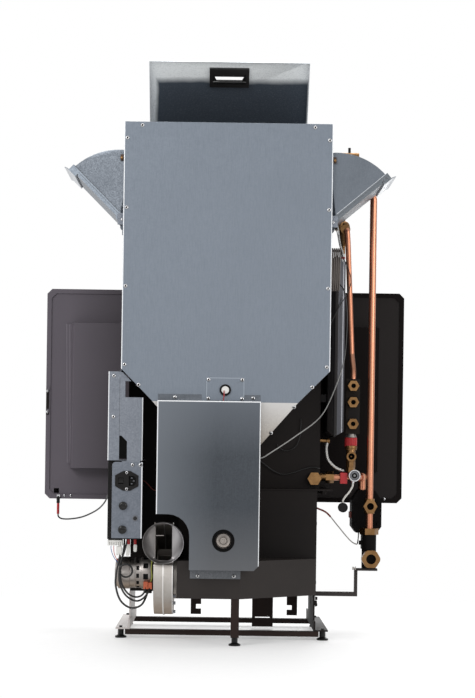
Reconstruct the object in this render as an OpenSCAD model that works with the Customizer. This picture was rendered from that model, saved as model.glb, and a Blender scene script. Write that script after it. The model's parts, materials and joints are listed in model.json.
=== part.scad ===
// Pellet-fired hydro fireplace insert, seen from behind in the photograph.
// X runs right, Y runs forward to the room, Z runs up. The origin is on the floor, under the middle.

/* [Hopper] */
// Width of the pellet hopper
hopper_w = 508; // [470:1:520]
// Depth of the pellet hopper
hopper_d = 218; // [205:1:218]
// Height of the hopper top above the floor
hopper_top_z = 1272; // [1262:1:1290]
// Height where the hopper sides start to draw in
hopper_corner_z = 671; // [660:1:690]
// Height of the lower edge of the rear panel
panel_foot_z = 593; // [585:1:600]
// Width of the lower edge of the rear panel
panel_foot_w = 354; // [330:1:360]
// Thickness of the galvanised sheet
sheet = 1.5; // [1:0.1:2]
// Width of the outlet below the funnel
spout_w = 80; // [70:1:90]
// Height of the funnel outlet
spout_top_z = 434; // [425:1:445]

/* [Lid and loading chutes] */
// Width of the hopper lid
lid_w = 400; // [360:1:410]
// Depth of the hopper lid
lid_d = 200; // [190:1:203]
// Angle that the lid stands open, from closed
lid_open = 53; // [30:1:65]
// Width of the lid grip
grip_w = 107; // [90:1:120]
// Height of the lid grip
grip_h = 58; // [45:1:60]
// Radius of the cheeks of the loading chutes
cheek_r = 163; // [150:1:166]
// Length of the flap of the loading chutes
flap_len = 168.5; // [165:0.5:172]
// Angle that the left chute stands open
left_open = 45; // [20:1:50]
// Angle that the right chute stands open
right_open = 50; // [20:1:50]
// Height of the chute hinge pins
chute_pivot_z = 1042; // [1030:1:1050]
// Diameter of the hinge pins
pin_dia = 6; // [4:0.5:8]

/* [Front surround and door] */
// Width of the front surround
surround_w = 960; // [900:1:1000]
// Height of the lower edge of the surround
surround_z0 = 341; // [335:1:350]
// Height of the upper edge of the surround
surround_z1 = 905; // [890:1:920]
// Depth of the surround tray
surround_d = 65; // [55:1:75]
// Size of the cut corners of the surround
surround_chamfer = 13; // [8:1:20]
// Half width of the raised box behind the surround
rear_box_half = 414; // [390:1:430]
// Width of the fire door
door_w = 580; // [540:1:600]
// Height of the fire door
door_h = 420; // [400:1:430]
// Thickness of the fire door frame
door_t = 16; // [14:1:20]
// Width of the door frame beside the glass
frame_side = 55; // [50:1:70]
// Width of the door frame above and below the glass
frame_end = 55; // [50:1:70]

/* [Boiler] */
// Half width of the boiler body
boiler_half = 246; // [240:1:250]
// Height of the top of the boiler body
boiler_top_z = 1150; // [1100:1:1200]
// Thickness of the boiler water jacket
jacket = 30; // [24:1:36]
// Height of the shelf flange that carries the boiler
shelf_z = 377; // [372:1:380]
// Thickness of the shelf flange
shelf_t = 4; // [3:0.5:6]
// Height of the lower edge of the base body
base_z0 = 114; // [110:1:118]
// Height of the top of the low box at the rear
low_box_z1 = 206; // [200:1:212]
// Thickness of the base body sheet
body_wall = 3; // [2:0.5:4]
// Number of heat exchanger tubes
tube_count = 6; // [4:1:7]
// Outer diameter of the heat exchanger tubes
tube_dia = 44; // [36:1:48]
// Width of the ash drawer
drawer_w = 300; // [260:1:320]
// Height of the ash drawer
drawer_h = 78; // [60:1:82]

/* [Auger drive] */
// Height of the auger axis
auger_z = 258; // [250:1:262]
// Outer diameter of the auger tube
auger_tube_dia = 76; // [70:1:78]
// Diameter of the auger shaft
auger_shaft_dia = 16; // [14:1:20]
// Outer diameter of the auger flight
auger_flight_dia = 64; // [56:1:66]
// Turns of the auger flight
auger_turns = 4; // [3:1:6]
// Depth of the auger cover behind the hopper
cover_depth = 42; // [40:1:50]
// Left edge of the auger cover
cover_x0 = -163; // [-168:1:-160]
// Right edge of the auger cover
cover_x1 = 86; // [80:1:95]
// Upper edge of the auger cover
cover_z1 = 594; // [590:1:600]
// Lower edge of the auger cover
cover_z0 = 186; // [180:1:190]
// Diameter of the shaft hole in the cover
cover_hole = 50; // [46:1:52]

/* [Fume fan and flue] */
// Outer diameter of the flue spigot
flue_dia = 100; // [80:1:102]
// Height of the flue spigot axis
flue_z = 248; // [245:1:252]
// Length of the flue spigot
flue_len = 50; // [40:1:60]
// Radius of the fan volute
volute_r = 102; // [95:1:103]
// Width of the fan volute
volute_w = 48; // [44:1:50]
// Height of the fan axis
fan_z = 168; // [166:1:172]
// Diameter of the fan motor
fan_motor_dia = 80; // [70:1:84]
// Number of impeller blades
blade_count = 12; // [8:1:16]

/* [Controls] */
// Width of the inlet plate
inlet_w = 74; // [70:1:76]
// Height of the upper edge of the inlet plate
inlet_z1 = 444; // [440:1:446]
// Height of the lower edge of the inlet plate
inlet_z0 = 258; // [254:1:262]
// Diameter of the two screw caps
cap_dia = 19.5; // [16:0.5:22]
// Diameter of the reset button
reset_dia = 9; // [7:0.5:11]
// Travel of the reset button
reset_travel = 2; // [1:0.5:3]

/* [Water side] */
// Outer diameter of the supply riser
riser_dia = 18; // [15:1:22]
// Outer diameter of the outlet pipe
outlet_pipe_dia = 14; // [12:1:16]
// Width across flats of the strip ports
port_flats = 26; // [22:1:28]
// Bore of the strip ports
port_bore = 11.5; // [9:0.5:13]
// Diameter of the safety valve cap
valve_cap_dia = 31.5; // [28:0.5:34]
// Width of the expansion vessel
vessel_w = 48; // [42:1:49]
// Height of the expansion vessel
vessel_h = 462; // [420:1:480]
// Depth of the expansion vessel
vessel_d = 200; // [180:1:203]

/* [Stand] */
// Half distance between the stand side plates
stand_half = 236; // [230:1:240]
// Height of the stand foot flange above the floor
stand_z = 26; // [22:1:30]
// Diameter of the levelling foot pads
foot_dia = 29; // [25:1:35]
// Height of the foot pads
foot_h = 8; // [7:1:10]

/* [Hidden] */

// Clearances
run_gap = 0.3;
pin_gap = 0.05;
pin_bore = pin_dia + 2 * pin_gap;

// Colours
zinc = "#8a9099";
black_paint = "#2a2626";
dark_steel = "#4a423e";
copper = "#c4835f";
brass = "#b09058";
cast_grey = "#9a9a96";

// Planes of depth
hopper_y0 = -243;
hopper_y1 = hopper_y0 + hopper_d;
boiler_y0 = -25;
boiler_y1 = 189;
surround_y1 = boiler_y1 + surround_d;
hopper_half = hopper_w / 2;
panel_half = panel_foot_w / 2;
spout_half = spout_w / 2;
spout_y0 = hopper_y0 + 60;
auger_tube_y0 = hopper_y0 + 53;
auger_tube_y1 = 25;
auger_tube_wall = 2;
auger_neck_z = 330;
shelf_top_z = shelf_z + shelf_t;

// Axis of the water pipes at the right
pipe_y = -8;
riser_x = 376;

// General helpers

// Places children drawn in XZ, extruded from y0 towards +Y
module along_y(y0, len) {
    translate([0, y0 + len, 0]) rotate([90, 0, 0]) linear_extrude(len) children();
}

// Places children drawn in YZ, extruded from x0 towards +X
module along_x(x0, len) {
    translate([x0, 0, 0]) rotate([90, 0, 90]) linear_extrude(len) children();
}

// Box between two corners
module box(a, b) {
    translate(a) cube([b[0] - a[0], b[1] - a[1], b[2] - a[2]]);
}

// Cylinder along Y that starts at p
module rod_y(p, d, len, fn = 48) {
    translate(p) rotate([-90, 0, 0]) cylinder(d = d, h = len, $fn = fn);
}

// Cylinder along X that starts at p
module rod_x(p, d, len, fn = 48) {
    translate(p) rotate([0, 90, 0]) cylinder(d = d, h = len, $fn = fn);
}

// Cylinder along Z that starts at p
module rod_z(p, d, len, fn = 48) {
    translate(p) cylinder(d = d, h = len, $fn = fn);
}

// Hexagon across flats
module hexagon(flats) {
    circle(d = flats / cos(30), $fn = 6);
}

function unit(v) = v / norm(v);

// Any unit vector square to d
function square_to(d) = unit(abs(d[2]) < 0.9 ? cross(d, [0, 0, 1]) : cross(d, [1, 0, 0]));

// Frame matrix with columns a, b, c and origin p
function frame_of(a, b, c, p) = [
    [a[0], b[0], c[0], p[0]], [a[1], b[1], c[1], p[1]], [a[2], b[2], c[2], p[2]], [0, 0, 0, 1]
];

// Straight round rod from a to b
module rod(a, b, d, fn = 40) {
    axis = unit(b - a);
    side = square_to(axis);
    multmatrix(frame_of(side, cross(axis, side), axis, a)) cylinder(d = d, h = norm(b - a), $fn = fn);
}

// Round pipe along points, with true bends of radius bend
module bent_pipe(points, d, bend) {
    last = len(points) - 1;
    function heading(i) = unit(points[i + 1] - points[i]);
    function turn(i) = acos(heading(i - 1) * heading(i));
    function cut(i) = (i == 0 || i == last) ? 0 : bend * tan(turn(i) / 2);
    for (i = [0:last - 1]) {
        rod(points[i] + heading(i) * cut(i), points[i + 1] - heading(i) * cut(i + 1), d);
    }
    for (i = [1:last - 1]) {
        come = heading(i - 1);
        go = heading(i);
        inward = unit(go - come * (come * go));
        centre = points[i] - come * cut(i) + inward * bend;
        multmatrix(frame_of(-inward, come, cross(come, inward), centre))
            rotate_extrude(angle = turn(i), $fn = 48) translate([bend, 0]) circle(d = d, $fn = 40);
    }
}

// Round pipe along points, with a ball corner at each slight turn
module kinked_pipe(points, d) {
    last = len(points) - 1;
    for (i = [0:last - 1]) rod(points[i], points[i + 1], d);
    for (i = [1:last - 1]) translate(points[i]) sphere(d = d + 0.2, $fn = 40);
}

// Point at t on a Catmull-Rom curve along points
function curve_point(p, i, t) =
    let (a = p[max(i - 1, 0)], b = p[i], c = p[i + 1], d = p[min(i + 2, len(p) - 1)])
    0.5 * (2 * b + (c - a) * t + (2 * a - 5 * b + 4 * c - d) * t * t
        + (3 * b - a - 3 * c + d) * t * t * t);
function curve(p, steps) = concat(
    [for (i = [0:len(p) - 2]) for (k = [0:steps - 1]) curve_point(p, i, k / steps)], [p[len(p) - 1]]
);
function tangent(q, i) = unit(q[min(i + 1, len(q) - 1)] - q[max(i - 1, 0)]);
// Side vectors carried along the curve without twist
function carried(q, i) = i == 0
    ? square_to(tangent(q, 0))
    : let (s = carried(q, i - 1), t = tangent(q, i)) unit(s - t * (s * t));

// Faceted tube swept along a smoothed list of points
module swept_cord(points, d, steps = 4, sides = 8) {
    q = curve(points, steps);
    n = len(q);
    rings = [for (i = [0:n - 1])
        let (t = tangent(q, i), s = carried(q, i), u = cross(t, s))
        for (k = [0:sides - 1]) q[i] + (s * cos(360 * k / sides) + u * sin(360 * k / sides)) * d / 2];
    swept_rings(rings, n, sides);
}
// Closed skin over n rings of points
module swept_rings(rings, n, sides) {
    skin = [for (i = [0:n - 2]) for (k = [0:sides - 1]) for (h = [0, 1])
        let (a = i * sides + k, b = i * sides + (k + 1) % sides)
        h == 0 ? [a, a + sides, b + sides] : [a, b + sides, b]];
    polyhedron(rings, concat(skin, [[for (k = [0:sides - 1]) k]],
        [[for (k = [sides - 1:-1:0]) (n - 1) * sides + k]]));
}

// Stand and feet

stand_y0 = -91;
stand_y1 = 262;
flange_out = 32;
plate_t = 4;
rail_y = [-83, 242];
foot_y = [-80, 245];
foot_x = stand_half + 19;
centre_leg_y = -241;

module stand_side() {
    box([stand_half - plate_t, stand_y0 + 35, stand_z], [stand_half, boiler_y1 - 12, base_z0]);
    box([stand_half - plate_t, stand_y0, stand_z], [stand_half, stand_y1, stand_z + 22]);
    difference() {
        box([stand_half - plate_t, stand_y0, stand_z - plate_t],
            [stand_half + flange_out, stand_y1, stand_z]);
        for (y = foot_y) translate([foot_x, y, stand_z - 10]) {
            cylinder(d = 8 + 2 * pin_gap, h = 20, $fn = 32);
        }
    }
}
module stand_left() { color(dark_steel) mirror([1, 0, 0]) stand_side(); }
module stand_right() {
    color(dark_steel) {
        stand_side();
        // Bolt on the outer face of the right plate
        rod_x([stand_half, boiler_y0 - 20, 90], 13, 6);
    }
}

rail_h = 13;
rail_half = stand_half + 8;
module stand_rails() {
    rear_leg();
    color(dark_steel) for (y = rail_y) {
        // Open channels hung between the side flanges
        difference() {
            box([-rail_half, y - 10, stand_z - plate_t - rail_h], [rail_half, y + 10, stand_z - plate_t]);
            box([-stand_half, y - 10 + 3, stand_z - plate_t - rail_h - 1],
                [stand_half, y + 10 - 3, stand_z - plate_t - 3]);
        }
    }
}

leg_w = 20;
leg_x = 31;
module rear_leg() {
    color(dark_steel) {
        difference() {
            box([leg_x - leg_w / 2, centre_leg_y, stand_z - 6],
                [leg_x + leg_w / 2, centre_leg_y + 24, base_z0]);
            box([leg_x - leg_w / 2 + 3, centre_leg_y + 3, stand_z - 2],
                [leg_x + leg_w / 2 - 3, centre_leg_y + 25, base_z0 + 1]);
            rod_z([leg_x, centre_leg_y + 12, 0], 8 + 2 * pin_gap, 60, 32);
        }
    }
}

module levelling_foot(x, y, top) {
    translate([x, y, 0]) {
        cylinder(d = foot_dia, h = 4, $fn = 48);
        translate([0, 0, 4]) cylinder(d1 = foot_dia - 3, d2 = 13, h = foot_h - 4, $fn = 48);
        rod_z([0, 0, foot_h], 8, top - foot_h + 8, 32);
        // Nut above the pad, under the plate
        translate([0, 0, foot_h]) linear_extrude(top - foot_h) difference() {
            hexagon(13);
            circle(d = 7.9, $fn = 32);
        }
    }
}
module levelling_feet() {
    color("#1d1c1c") {
        for (side = [-1, 1]) for (y = foot_y) levelling_foot(side * foot_x, y, stand_z - plate_t);
        levelling_foot(leg_x, centre_leg_y + 12, stand_z - 6);
    }
}

// Notched hooks and the plate that hang under the base body
hook_y = 180;
hook_w = 28;
hook_x = [-69, 189];
hook_z0 = 36;
notch_z = 51;
notch_h = 12;
notch_w = 13.6;
hang_plate_x = 110;
hang_plate_w = 56;
module hanging_brackets() {
    color(dark_steel) {
        for (i = [0, 1]) difference() {
            box([hook_x[i] - hook_w / 2, hook_y, hook_z0],
                [hook_x[i] + hook_w / 2, hook_y + 4, base_z0]);
            notch_from = i == 0 ? hook_x[i] + hook_w / 2 - notch_w : hook_x[i] - hook_w / 2 - 1;
            translate([notch_from, hook_y - 1, notch_z]) cube([notch_w + 1, 6, notch_h]);
        }
        difference() {
            box([hang_plate_x - hang_plate_w / 2, hook_y, 5],
                [hang_plate_x + hang_plate_w / 2, hook_y + 4, base_z0]);
            box([hang_plate_x - 20, hook_y - 1, 28], [hang_plate_x + 20, hook_y + 5, 31]);
        }
    }
}

// Base body

base_half = 236;
base_left_x = -112;
low_rear_x1 = 43;
base_side_y = -33;
base_mid_y = -93;
module low_outline(t) {
    polygon([
        [-base_half + t, base_side_y + t], [base_left_x + t, base_side_y + t],
        [base_left_x + t, hopper_y0 + t],
        [low_rear_x1 - t / 2, hopper_y0 + t], [base_half - t, base_mid_y + t / 2],
        [base_half - t, boiler_y1 - t], [-base_half + t, boiler_y1 - t]
    ]);
}
module high_outline(t) {
    polygon([
        [-base_half + t, base_side_y + t], [base_left_x + t, base_side_y + t],
        [base_left_x + t, base_mid_y + t],
        [base_half - t, base_mid_y + t], [base_half - t, boiler_y1 - t], [-base_half + t, boiler_y1 - t]
    ]);
}
drawer_z0 = base_z0 + body_wall + run_gap;
drawer_y0 = base_side_y + body_wall + 1;
retort_half = 45;
retort_y0 = 25;
retort_y1 = 115;
fan_y = hopper_y0 + 105;
fan_inlet_dia = 96;
module base_body() {
    color(black_paint) difference() {
        union() {
            translate([0, 0, base_z0]) linear_extrude(low_box_z1 - base_z0) low_outline(0);
            translate([0, 0, low_box_z1]) linear_extrude(shelf_z - low_box_z1) high_outline(0);
        }
        translate([0, 0, base_z0 + body_wall]) linear_extrude(low_box_z1 - base_z0 - 2 * body_wall)
            low_outline(body_wall);
        translate([0, 0, base_z0 + body_wall]) linear_extrude(shelf_z - base_z0 - 2 * body_wall)
            high_outline(body_wall);
        // Drawer slot in the front
        box([-drawer_w / 2 - 1, boiler_y1 - 2 * body_wall, base_z0 + body_wall],
            [drawer_w / 2 + 1, boiler_y1 + 1, drawer_z0 + drawer_h + 1]);
        // Passage for the auger tube
        rod_y([0, base_mid_y - 5, auger_z], auger_tube_dia + 2 * pin_gap, 20, 64);
        // Suction hole of the fume fan
        rod_x([base_left_x - 5, fan_y, fan_z], fan_inlet_dia, 20, 64);
        // Passage for the burner retort
        box([-retort_half - 1, retort_y0 - 1, shelf_z - 2 * body_wall],
            [retort_half + 1, retort_y1 + 1, shelf_z + 1]);
    }
}

shelf_right = 275;
shelf_left = -250;
module shelf_flange() {
    color(black_paint) {
        difference() {
            box([shelf_left, base_mid_y - 2, shelf_z], [shelf_right, boiler_y1, shelf_top_z]);
            box([-retort_half - 1, retort_y0 - 1, shelf_z - 1],
                [retort_half + 1, retort_y1 + 1, shelf_top_z + 1]);
            // Clear of the fan side at the left rear
            box([shelf_left - 1, base_mid_y - 3, shelf_z - 1],
                [base_left_x - 2, base_side_y - 2, shelf_top_z + 1]);
        }
        // Bolts under the overhang
        for (y = [-70, 0, 70, 140]) translate([base_half + 18, y, shelf_z - 8]) {
            linear_extrude(8) hexagon(13);
        }
    }
}

module ash_drawer() {
    color("#5a5654") {
        difference() {
            box([-drawer_w / 2, drawer_y0, drawer_z0], [drawer_w / 2, boiler_y1, drawer_z0 + drawer_h]);
            box([-drawer_w / 2 + 2, drawer_y0 + 2, drawer_z0 + 2],
                [drawer_w / 2 - 2, boiler_y1 - 2, drawer_z0 + drawer_h + 1]);
        }
        // Front plate and its bar handle
        box([-drawer_w / 2 - 10, boiler_y1 + run_gap, drawer_z0 - 0.3 + 1],
            [drawer_w / 2 + 10, boiler_y1 + 6, drawer_z0 + drawer_h + 8]);
        box([-drawer_w / 2 + 2, boiler_y1 - 2, drawer_z0 + 2],
            [drawer_w / 2 - 2, boiler_y1 + 1, drawer_z0 + drawer_h - 2]);
        for (side = [-1, 1]) rod_y([side * 55, boiler_y1 + 6, drawer_z0 + 50], 9, 22);
        rod_x([-70, boiler_y1 + 28, drawer_z0 + 50], 11, 140);
    }
}

// Boiler body

steel = 5;
fire_half = 190;
fire_z0 = shelf_top_z + 14;
fire_z1 = 790;
flue_box_z0 = 800;
flue_box_z1 = boiler_top_z - jacket;
tube_pitch = 60;
module boiler_shell() {
    color(black_paint) difference() {
        box([-boiler_half, boiler_y0, shelf_top_z], [boiler_half, boiler_y1, boiler_top_z]);
        boiler_spaces(0);
        // Water space between the outer and the inner steel wall
        difference() {
            box([-boiler_half + steel, boiler_y0 + steel, fire_z0],
                [boiler_half - steel, boiler_y1 - steel, boiler_top_z - steel]);
            boiler_spaces(steel);
        }
    }
}
// Spaces on the fire side, grown by t for the wall round them
module boiler_spaces(t) {
    // Firebox, open to the front
    box([-fire_half - t, boiler_y0 + jacket - t, fire_z0 - t], [fire_half + t, boiler_y1 + 1, fire_z1 + t]);
    // Chamber that holds the exchanger tubes
    box([-fire_half - 10 - t, boiler_y0 + jacket - t, flue_box_z0 - t],
        [fire_half + 10 + t, boiler_y1 - jacket + t, flue_box_z1 + t]);
    // Gas passage from the firebox into the chamber
    box([-fire_half + 30 - t, boiler_y1 - jacket - 50 - t, fire_z1 - 1],
        [fire_half - 30 + t, boiler_y1 - jacket - 10 + t, flue_box_z0 + 1]);
    // Hole for the burner retort in the firebox floor
    box([-retort_half - 1 - t, retort_y0 - 1 - t, shelf_top_z - 1],
        [retort_half + 1 + t, retort_y1 + 1 + t, fire_z0 + 1]);
    // Guide of the scraper rod
    translate([0, boiler_y0 + jacket + 60, flue_box_z1 - 1]) {
        cylinder(d = 10 + 2 * pin_gap + 2 * t, h = jacket + 2, $fn = 40);
    }
}

liner_t = 8;
module firebox_liner() {
    color("#3a3634") {
        box([-fire_half, boiler_y0 + jacket, fire_z0],
            [fire_half, boiler_y0 + jacket + liner_t, fire_z1 - 40]);
        for (side = [-1, 1]) {
            box([side * (fire_half - liner_t / 2) - liner_t / 2, boiler_y0 + jacket + liner_t, fire_z0],
                [side * (fire_half - liner_t / 2) + liner_t / 2, boiler_y1 - 30, fire_z1 - 40]);
        }
        // Baffle plate across the top of the fire
        box([-fire_half + liner_t, boiler_y0 + jacket + liner_t, fire_z1 - 50],
            [fire_half - liner_t, boiler_y1 - 90, fire_z1 - 42]);
    }
}

pot_half = 38;
pot_y0 = 36;
pot_y1 = 108;
module burner_retort() {
    color("#35322f") difference() {
        box([-retort_half, retort_y0, auger_z - 42], [retort_half, retort_y1, fire_z0]);
        box([-retort_half + 5, retort_y0 + 5, auger_z - 37], [retort_half - 5, retort_y1 - 5, fire_z0 + 1]);
        // Mouth of the auger tube
        rod_y([0, retort_y0 - 1, auger_z], auger_tube_dia - 2 * auger_tube_wall, 8, 64);
    }
}
module burn_pot() {
    color("#4c4845") difference() {
        union() {
            box([-62, retort_y0 - 10, fire_z0 + 0.2], [62, retort_y1 + 10, fire_z0 + 6]);
            box([-pot_half, pot_y0 - 3, fire_z0 - 44], [pot_half, pot_y1 - 3, fire_z0 + 0.3]);
        }
        box([-pot_half + 4, pot_y0 + 1, fire_z0 - 40], [pot_half - 4, pot_y1 - 7, fire_z0 + 7]);
        // Air and feed holes in the bottom of the pot
        for (i = [-1:1]) for (j = [0:1]) translate([i * 20, pot_y0 + 18 + j * 28, fire_z0 - 50]) {
            cylinder(d = 10, h = 20, $fn = 24);
        }
    }
}

tube_z0 = flue_box_z0 + 30;
tube_z1 = flue_box_z1 - 60;
module exchanger_tubes() {
    first = -(tube_count - 1) / 2 * tube_pitch;
    color("#6a6664") difference() {
        union() {
            for (z = [tube_z0, tube_z1 - 4]) {
                box([-fire_half - 10, boiler_y0 + jacket, z], [fire_half + 10, boiler_y1 - jacket, z + 4]);
            }
            for (i = [0:tube_count - 1]) translate([first + i * tube_pitch, boiler_y0 + 90, tube_z0]) {
                cylinder(d = tube_dia, h = tube_z1 - tube_z0, $fn = 40);
            }
        }
        for (i = [0:tube_count - 1]) translate([first + i * tube_pitch, boiler_y0 + 90, tube_z0 - 1]) {
            cylinder(d = tube_dia - 5, h = tube_z1 - tube_z0 + 2, $fn = 40);
        }
    }
}

module tube_scraper() {
    first = -(tube_count - 1) / 2 * tube_pitch;
    bar_z = tube_z1 + 12;
    color("#77726e") {
        for (i = [0:tube_count - 1]) translate([first + i * tube_pitch, boiler_y0 + 90, tube_z0 + 10]) {
            cylinder(d = 6, h = bar_z - tube_z0 - 10, $fn = 24);
            for (k = [0:3]) rod_z([0, 0, k * 45], tube_dia - 8, 3, 32);
        }
        box([first - 10, boiler_y0 + 82, bar_z], [-first + 10, boiler_y0 + 98, bar_z + 5]);
        translate([0, boiler_y0 + 90, bar_z + 5]) {
            cylinder(d = 10, h = boiler_top_z + 40 - bar_z - 5, $fn = 40);
        }
        rod_z([0, boiler_y0 + 90, boiler_top_z + 40], 26, 20);
    }
}

// Front surround and fire door

surround_half = surround_w / 2;
module surround_outline(t) {
    c = surround_chamfer;
    x = surround_half - t;
    z0 = surround_z0 + t;
    z1 = surround_z1 - t;
    polygon([
        [-x + c, z0], [x - c, z0], [x, z0 + c], [x, z1 - c],
        [x - c, z1], [-x + c, z1], [-x, z1 - c], [-x, z0 + c]
    ]);
}
tray_t = 2;
rim_w = 12;
door_z0 = 428;
door_x0 = -door_w / 2;
door_y0 = surround_y1 + 1;
door_pivot_x = door_x0 - 12;
door_pivot_y = door_y0 + 8;
knuckle_z = [door_z0 + 40, door_z0 + door_h - 70];
catch_z = [578, 636];
module front_surround() {
    color("#3c3638") {
        difference() {
            along_y(boiler_y1, surround_d) surround_outline(0);
            along_y(boiler_y1 + tray_t, surround_d - 2 * tray_t) surround_outline(tray_t);
            // Opening of the firebox, through back and front plate
            box([-boiler_half + 20, boiler_y1 - 1, 395], [boiler_half - 20, surround_y1 + 1, fire_z1]);
            // Window of the panel lead
            box([-456, boiler_y1 - 1, 356], [-442, boiler_y1 + 3, 369]);
        }
        // Raised rim strip round the back of the tray
        difference() {
            along_y(boiler_y1 - 3, 3) surround_outline(0);
            along_y(boiler_y1 - 4, 5) surround_outline(rim_w);
            // The strip stops at the boiler body
            box([-boiler_half - 1, boiler_y1 - 4, surround_z0 - 1],
                [boiler_half + 1, boiler_y1, surround_z1 + 1]);
        }
        // Pins of the door hinges, with their lugs
        for (z = knuckle_z) {
            rod_z([door_pivot_x, door_pivot_y, z - 12], pin_dia, 54, 32);
            rod_z([door_pivot_x, door_pivot_y, z - 12], 14, 12 - run_gap, 40);
            box([door_pivot_x - 7, surround_y1, z - 12], [door_pivot_x + 7, door_pivot_y, z - run_gap]);
        }
        // Catch screws at the left edge
        for (z = catch_z) rod_y([-surround_half + 6, boiler_y1 - 6, z], 8, 3);
    }
}

box_z0 = 424;
box_z1 = 811;
box_y0 = 149;
flank = 9;
module surround_rear_box() {
    rear = rear_box_half - flank;
    color("#3c3638") difference() {
        // The sides slope a little, so each is a profile in XY
        union() {
            translate([0, 0, box_z0]) linear_extrude(box_z1 - box_z0) polygon([
                [-rear_box_half, boiler_y1], [-rear, box_y0], [rear, box_y0], [rear_box_half, boiler_y1]
            ]);
        }
        translate([0, 0, box_z0 + 2]) linear_extrude(box_z1 - box_z0 - 4) polygon([
            [-rear_box_half + 2.2, boiler_y1 + 1], [-rear + 1.8, box_y0 + 2], [rear - 1.8, box_y0 + 2],
            [rear_box_half - 2.2, boiler_y1 + 1]
        ]);
        box([-boiler_half - 0.5, box_y0 - 1, box_z0 - 1], [boiler_half + 0.5, boiler_y1 + 2, box_z1 + 1]);
    }
}

module door_outline(t) {
    translate([door_x0 + t, door_z0 + t]) square([door_w - 2 * t, door_h - 2 * t]);
}
glass_w = door_w - 2 * frame_side;
glass_h = door_h - 2 * frame_end;
glass_z0 = door_z0 + frame_end;
glass_seat = 10;
glass_t = 4;
handle_x = door_w / 2 - 26;
handle_z = door_z0 + door_h / 2;
module fire_door_frame() {
    color("#2c292b") {
        difference() {
            along_y(door_y0, door_t) door_outline(0);
            translate([-glass_w / 2, door_y0 - 1, glass_z0]) cube([glass_w, door_t + 2, glass_h]);
            // Seat of the glass, open to the fire side
            translate([-glass_w / 2 - glass_seat, door_y0 - 1, glass_z0 - glass_seat])
                cube([glass_w + 2 * glass_seat, 7, glass_h + 2 * glass_seat]);
            // Groove of the rope gasket
            along_y(door_y0 - 1, 6) difference() {
                door_outline(8);
                door_outline(20);
            }
            rod_y([handle_x, door_y0 - 1, handle_z], 10 + 2 * pin_gap, door_t + 2);
        }
        for (z = knuckle_z) difference() {
            union() {
                rod_z([door_pivot_x, door_pivot_y, z], 14, 30, 40);
                box([door_pivot_x, door_pivot_y - 4, z], [door_x0 + 1, door_pivot_y + 4, z + 30]);
            }
            translate([door_pivot_x, door_pivot_y, z - 1]) {
                cylinder(d = pin_bore, h = 32, $fn = 32);
            }
        }
    }
}
module fire_door_glass() {
    half = glass_w / 2 + glass_seat - run_gap;
    z0 = glass_z0 - glass_seat + run_gap;
    z1 = glass_z0 + glass_h + glass_seat - run_gap;
    color("#20242a", 0.6) box([-half, door_y0 + 6 - glass_t, z0], [half, door_y0 + 6, z1]);
}
module door_gasket() {
    color("#88857d") along_y(door_y0 - 0.7, 5.7) difference() {
        door_outline(8.3);
        door_outline(19.7);
    }
}
module door_handle() {
    color("#8f9194") {
        rod_y([handle_x, door_y0 + 0.5, handle_z], 10, door_t + 2);
        box([handle_x - 9, door_y0 + door_t + run_gap, handle_z - 110],
            [handle_x + 9, surround_y1 + 31, handle_z + 12]);
    }
}

// Hopper

module hopper_outline(t) {
    k = t * tan(22.5);
    x = hopper_half - t;
    polygon([
        [-x, hopper_top_z], [-x, hopper_corner_z + k], [-panel_half + k, panel_foot_z],
        [panel_half - k, panel_foot_z],
        [x, hopper_corner_z + k], [x, hopper_top_z]
    ]);
}
chute_margin = 12;
chute_y0 = hopper_y0 + chute_margin;
chute_y1 = hopper_y1 - chute_margin - 6;
module hopper_shell() {
    // Peg of the cable hank
    color(zinc) rod_x([hopper_half, hank_y, peg_z], peg_dia, hank_loops * hank_step + 6, 32);
    color(zinc) difference() {
        along_y(hopper_y0 + sheet, hopper_d - sheet) hopper_outline(0);
        along_y(hopper_y0, hopper_d - sheet) hopper_outline(sheet);
        // Open top below the top plate
        box([-hopper_half - 1, hopper_y0, hopper_top_z - sheet],
            [hopper_half + 1, hopper_y1 + 1, hopper_top_z + 1]);
        // Foot stays open over the funnel
        box([-panel_half, hopper_y0, panel_foot_z - 1], [panel_half, hopper_y1 - sheet, panel_foot_z + 3]);
        // Mouths of the side chutes
        for (side = [-1, 1]) {
            box([side * hopper_half - 4, chute_y0 - 1, chute_pivot_z - 6],
                [side * hopper_half + 4, chute_y1 + 1, chute_pivot_z + cheek_r + 3]);
        }
    }
}

module hopper_rear_panel() {
    color(zinc) difference() {
        along_y(hopper_y0, sheet) hopper_outline(0);
        // Hole of the level sensor
        rod_y([0, hopper_y0 - 1, 622], 20 + 2 * pin_gap, 4);
    }
}

module funnel_solid(t) {
    y_front = hopper_y1 - t;
    hull() {
        box([-panel_half + t, hopper_y0 + sheet + t, panel_foot_z - 0.01],
            [panel_half - t, y_front, panel_foot_z]);
        box([-spout_half + t, spout_y0 + t, spout_top_z],
            [spout_half - t, spout_y0 + spout_w - t, spout_top_z + 0.01]);
    }
}
module hopper_funnel() {
    color("#b8aca0") {
        difference() {
            funnel_solid(0);
            translate([0, 0, 0.02]) funnel_solid(sheet);
            box([-spout_half + sheet, spout_y0 + sheet, spout_top_z - 5],
                [spout_half - sheet, spout_y0 + spout_w - sheet, spout_top_z + 5]);
        }
        difference() {
            box([-spout_half, spout_y0, auger_neck_z], [spout_half, spout_y0 + spout_w, spout_top_z]);
            box([-spout_half + sheet, spout_y0 + sheet, auger_neck_z - 1],
                [spout_half - sheet, spout_y0 + spout_w - sheet, spout_top_z + 1]);
        }
    }
}

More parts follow.
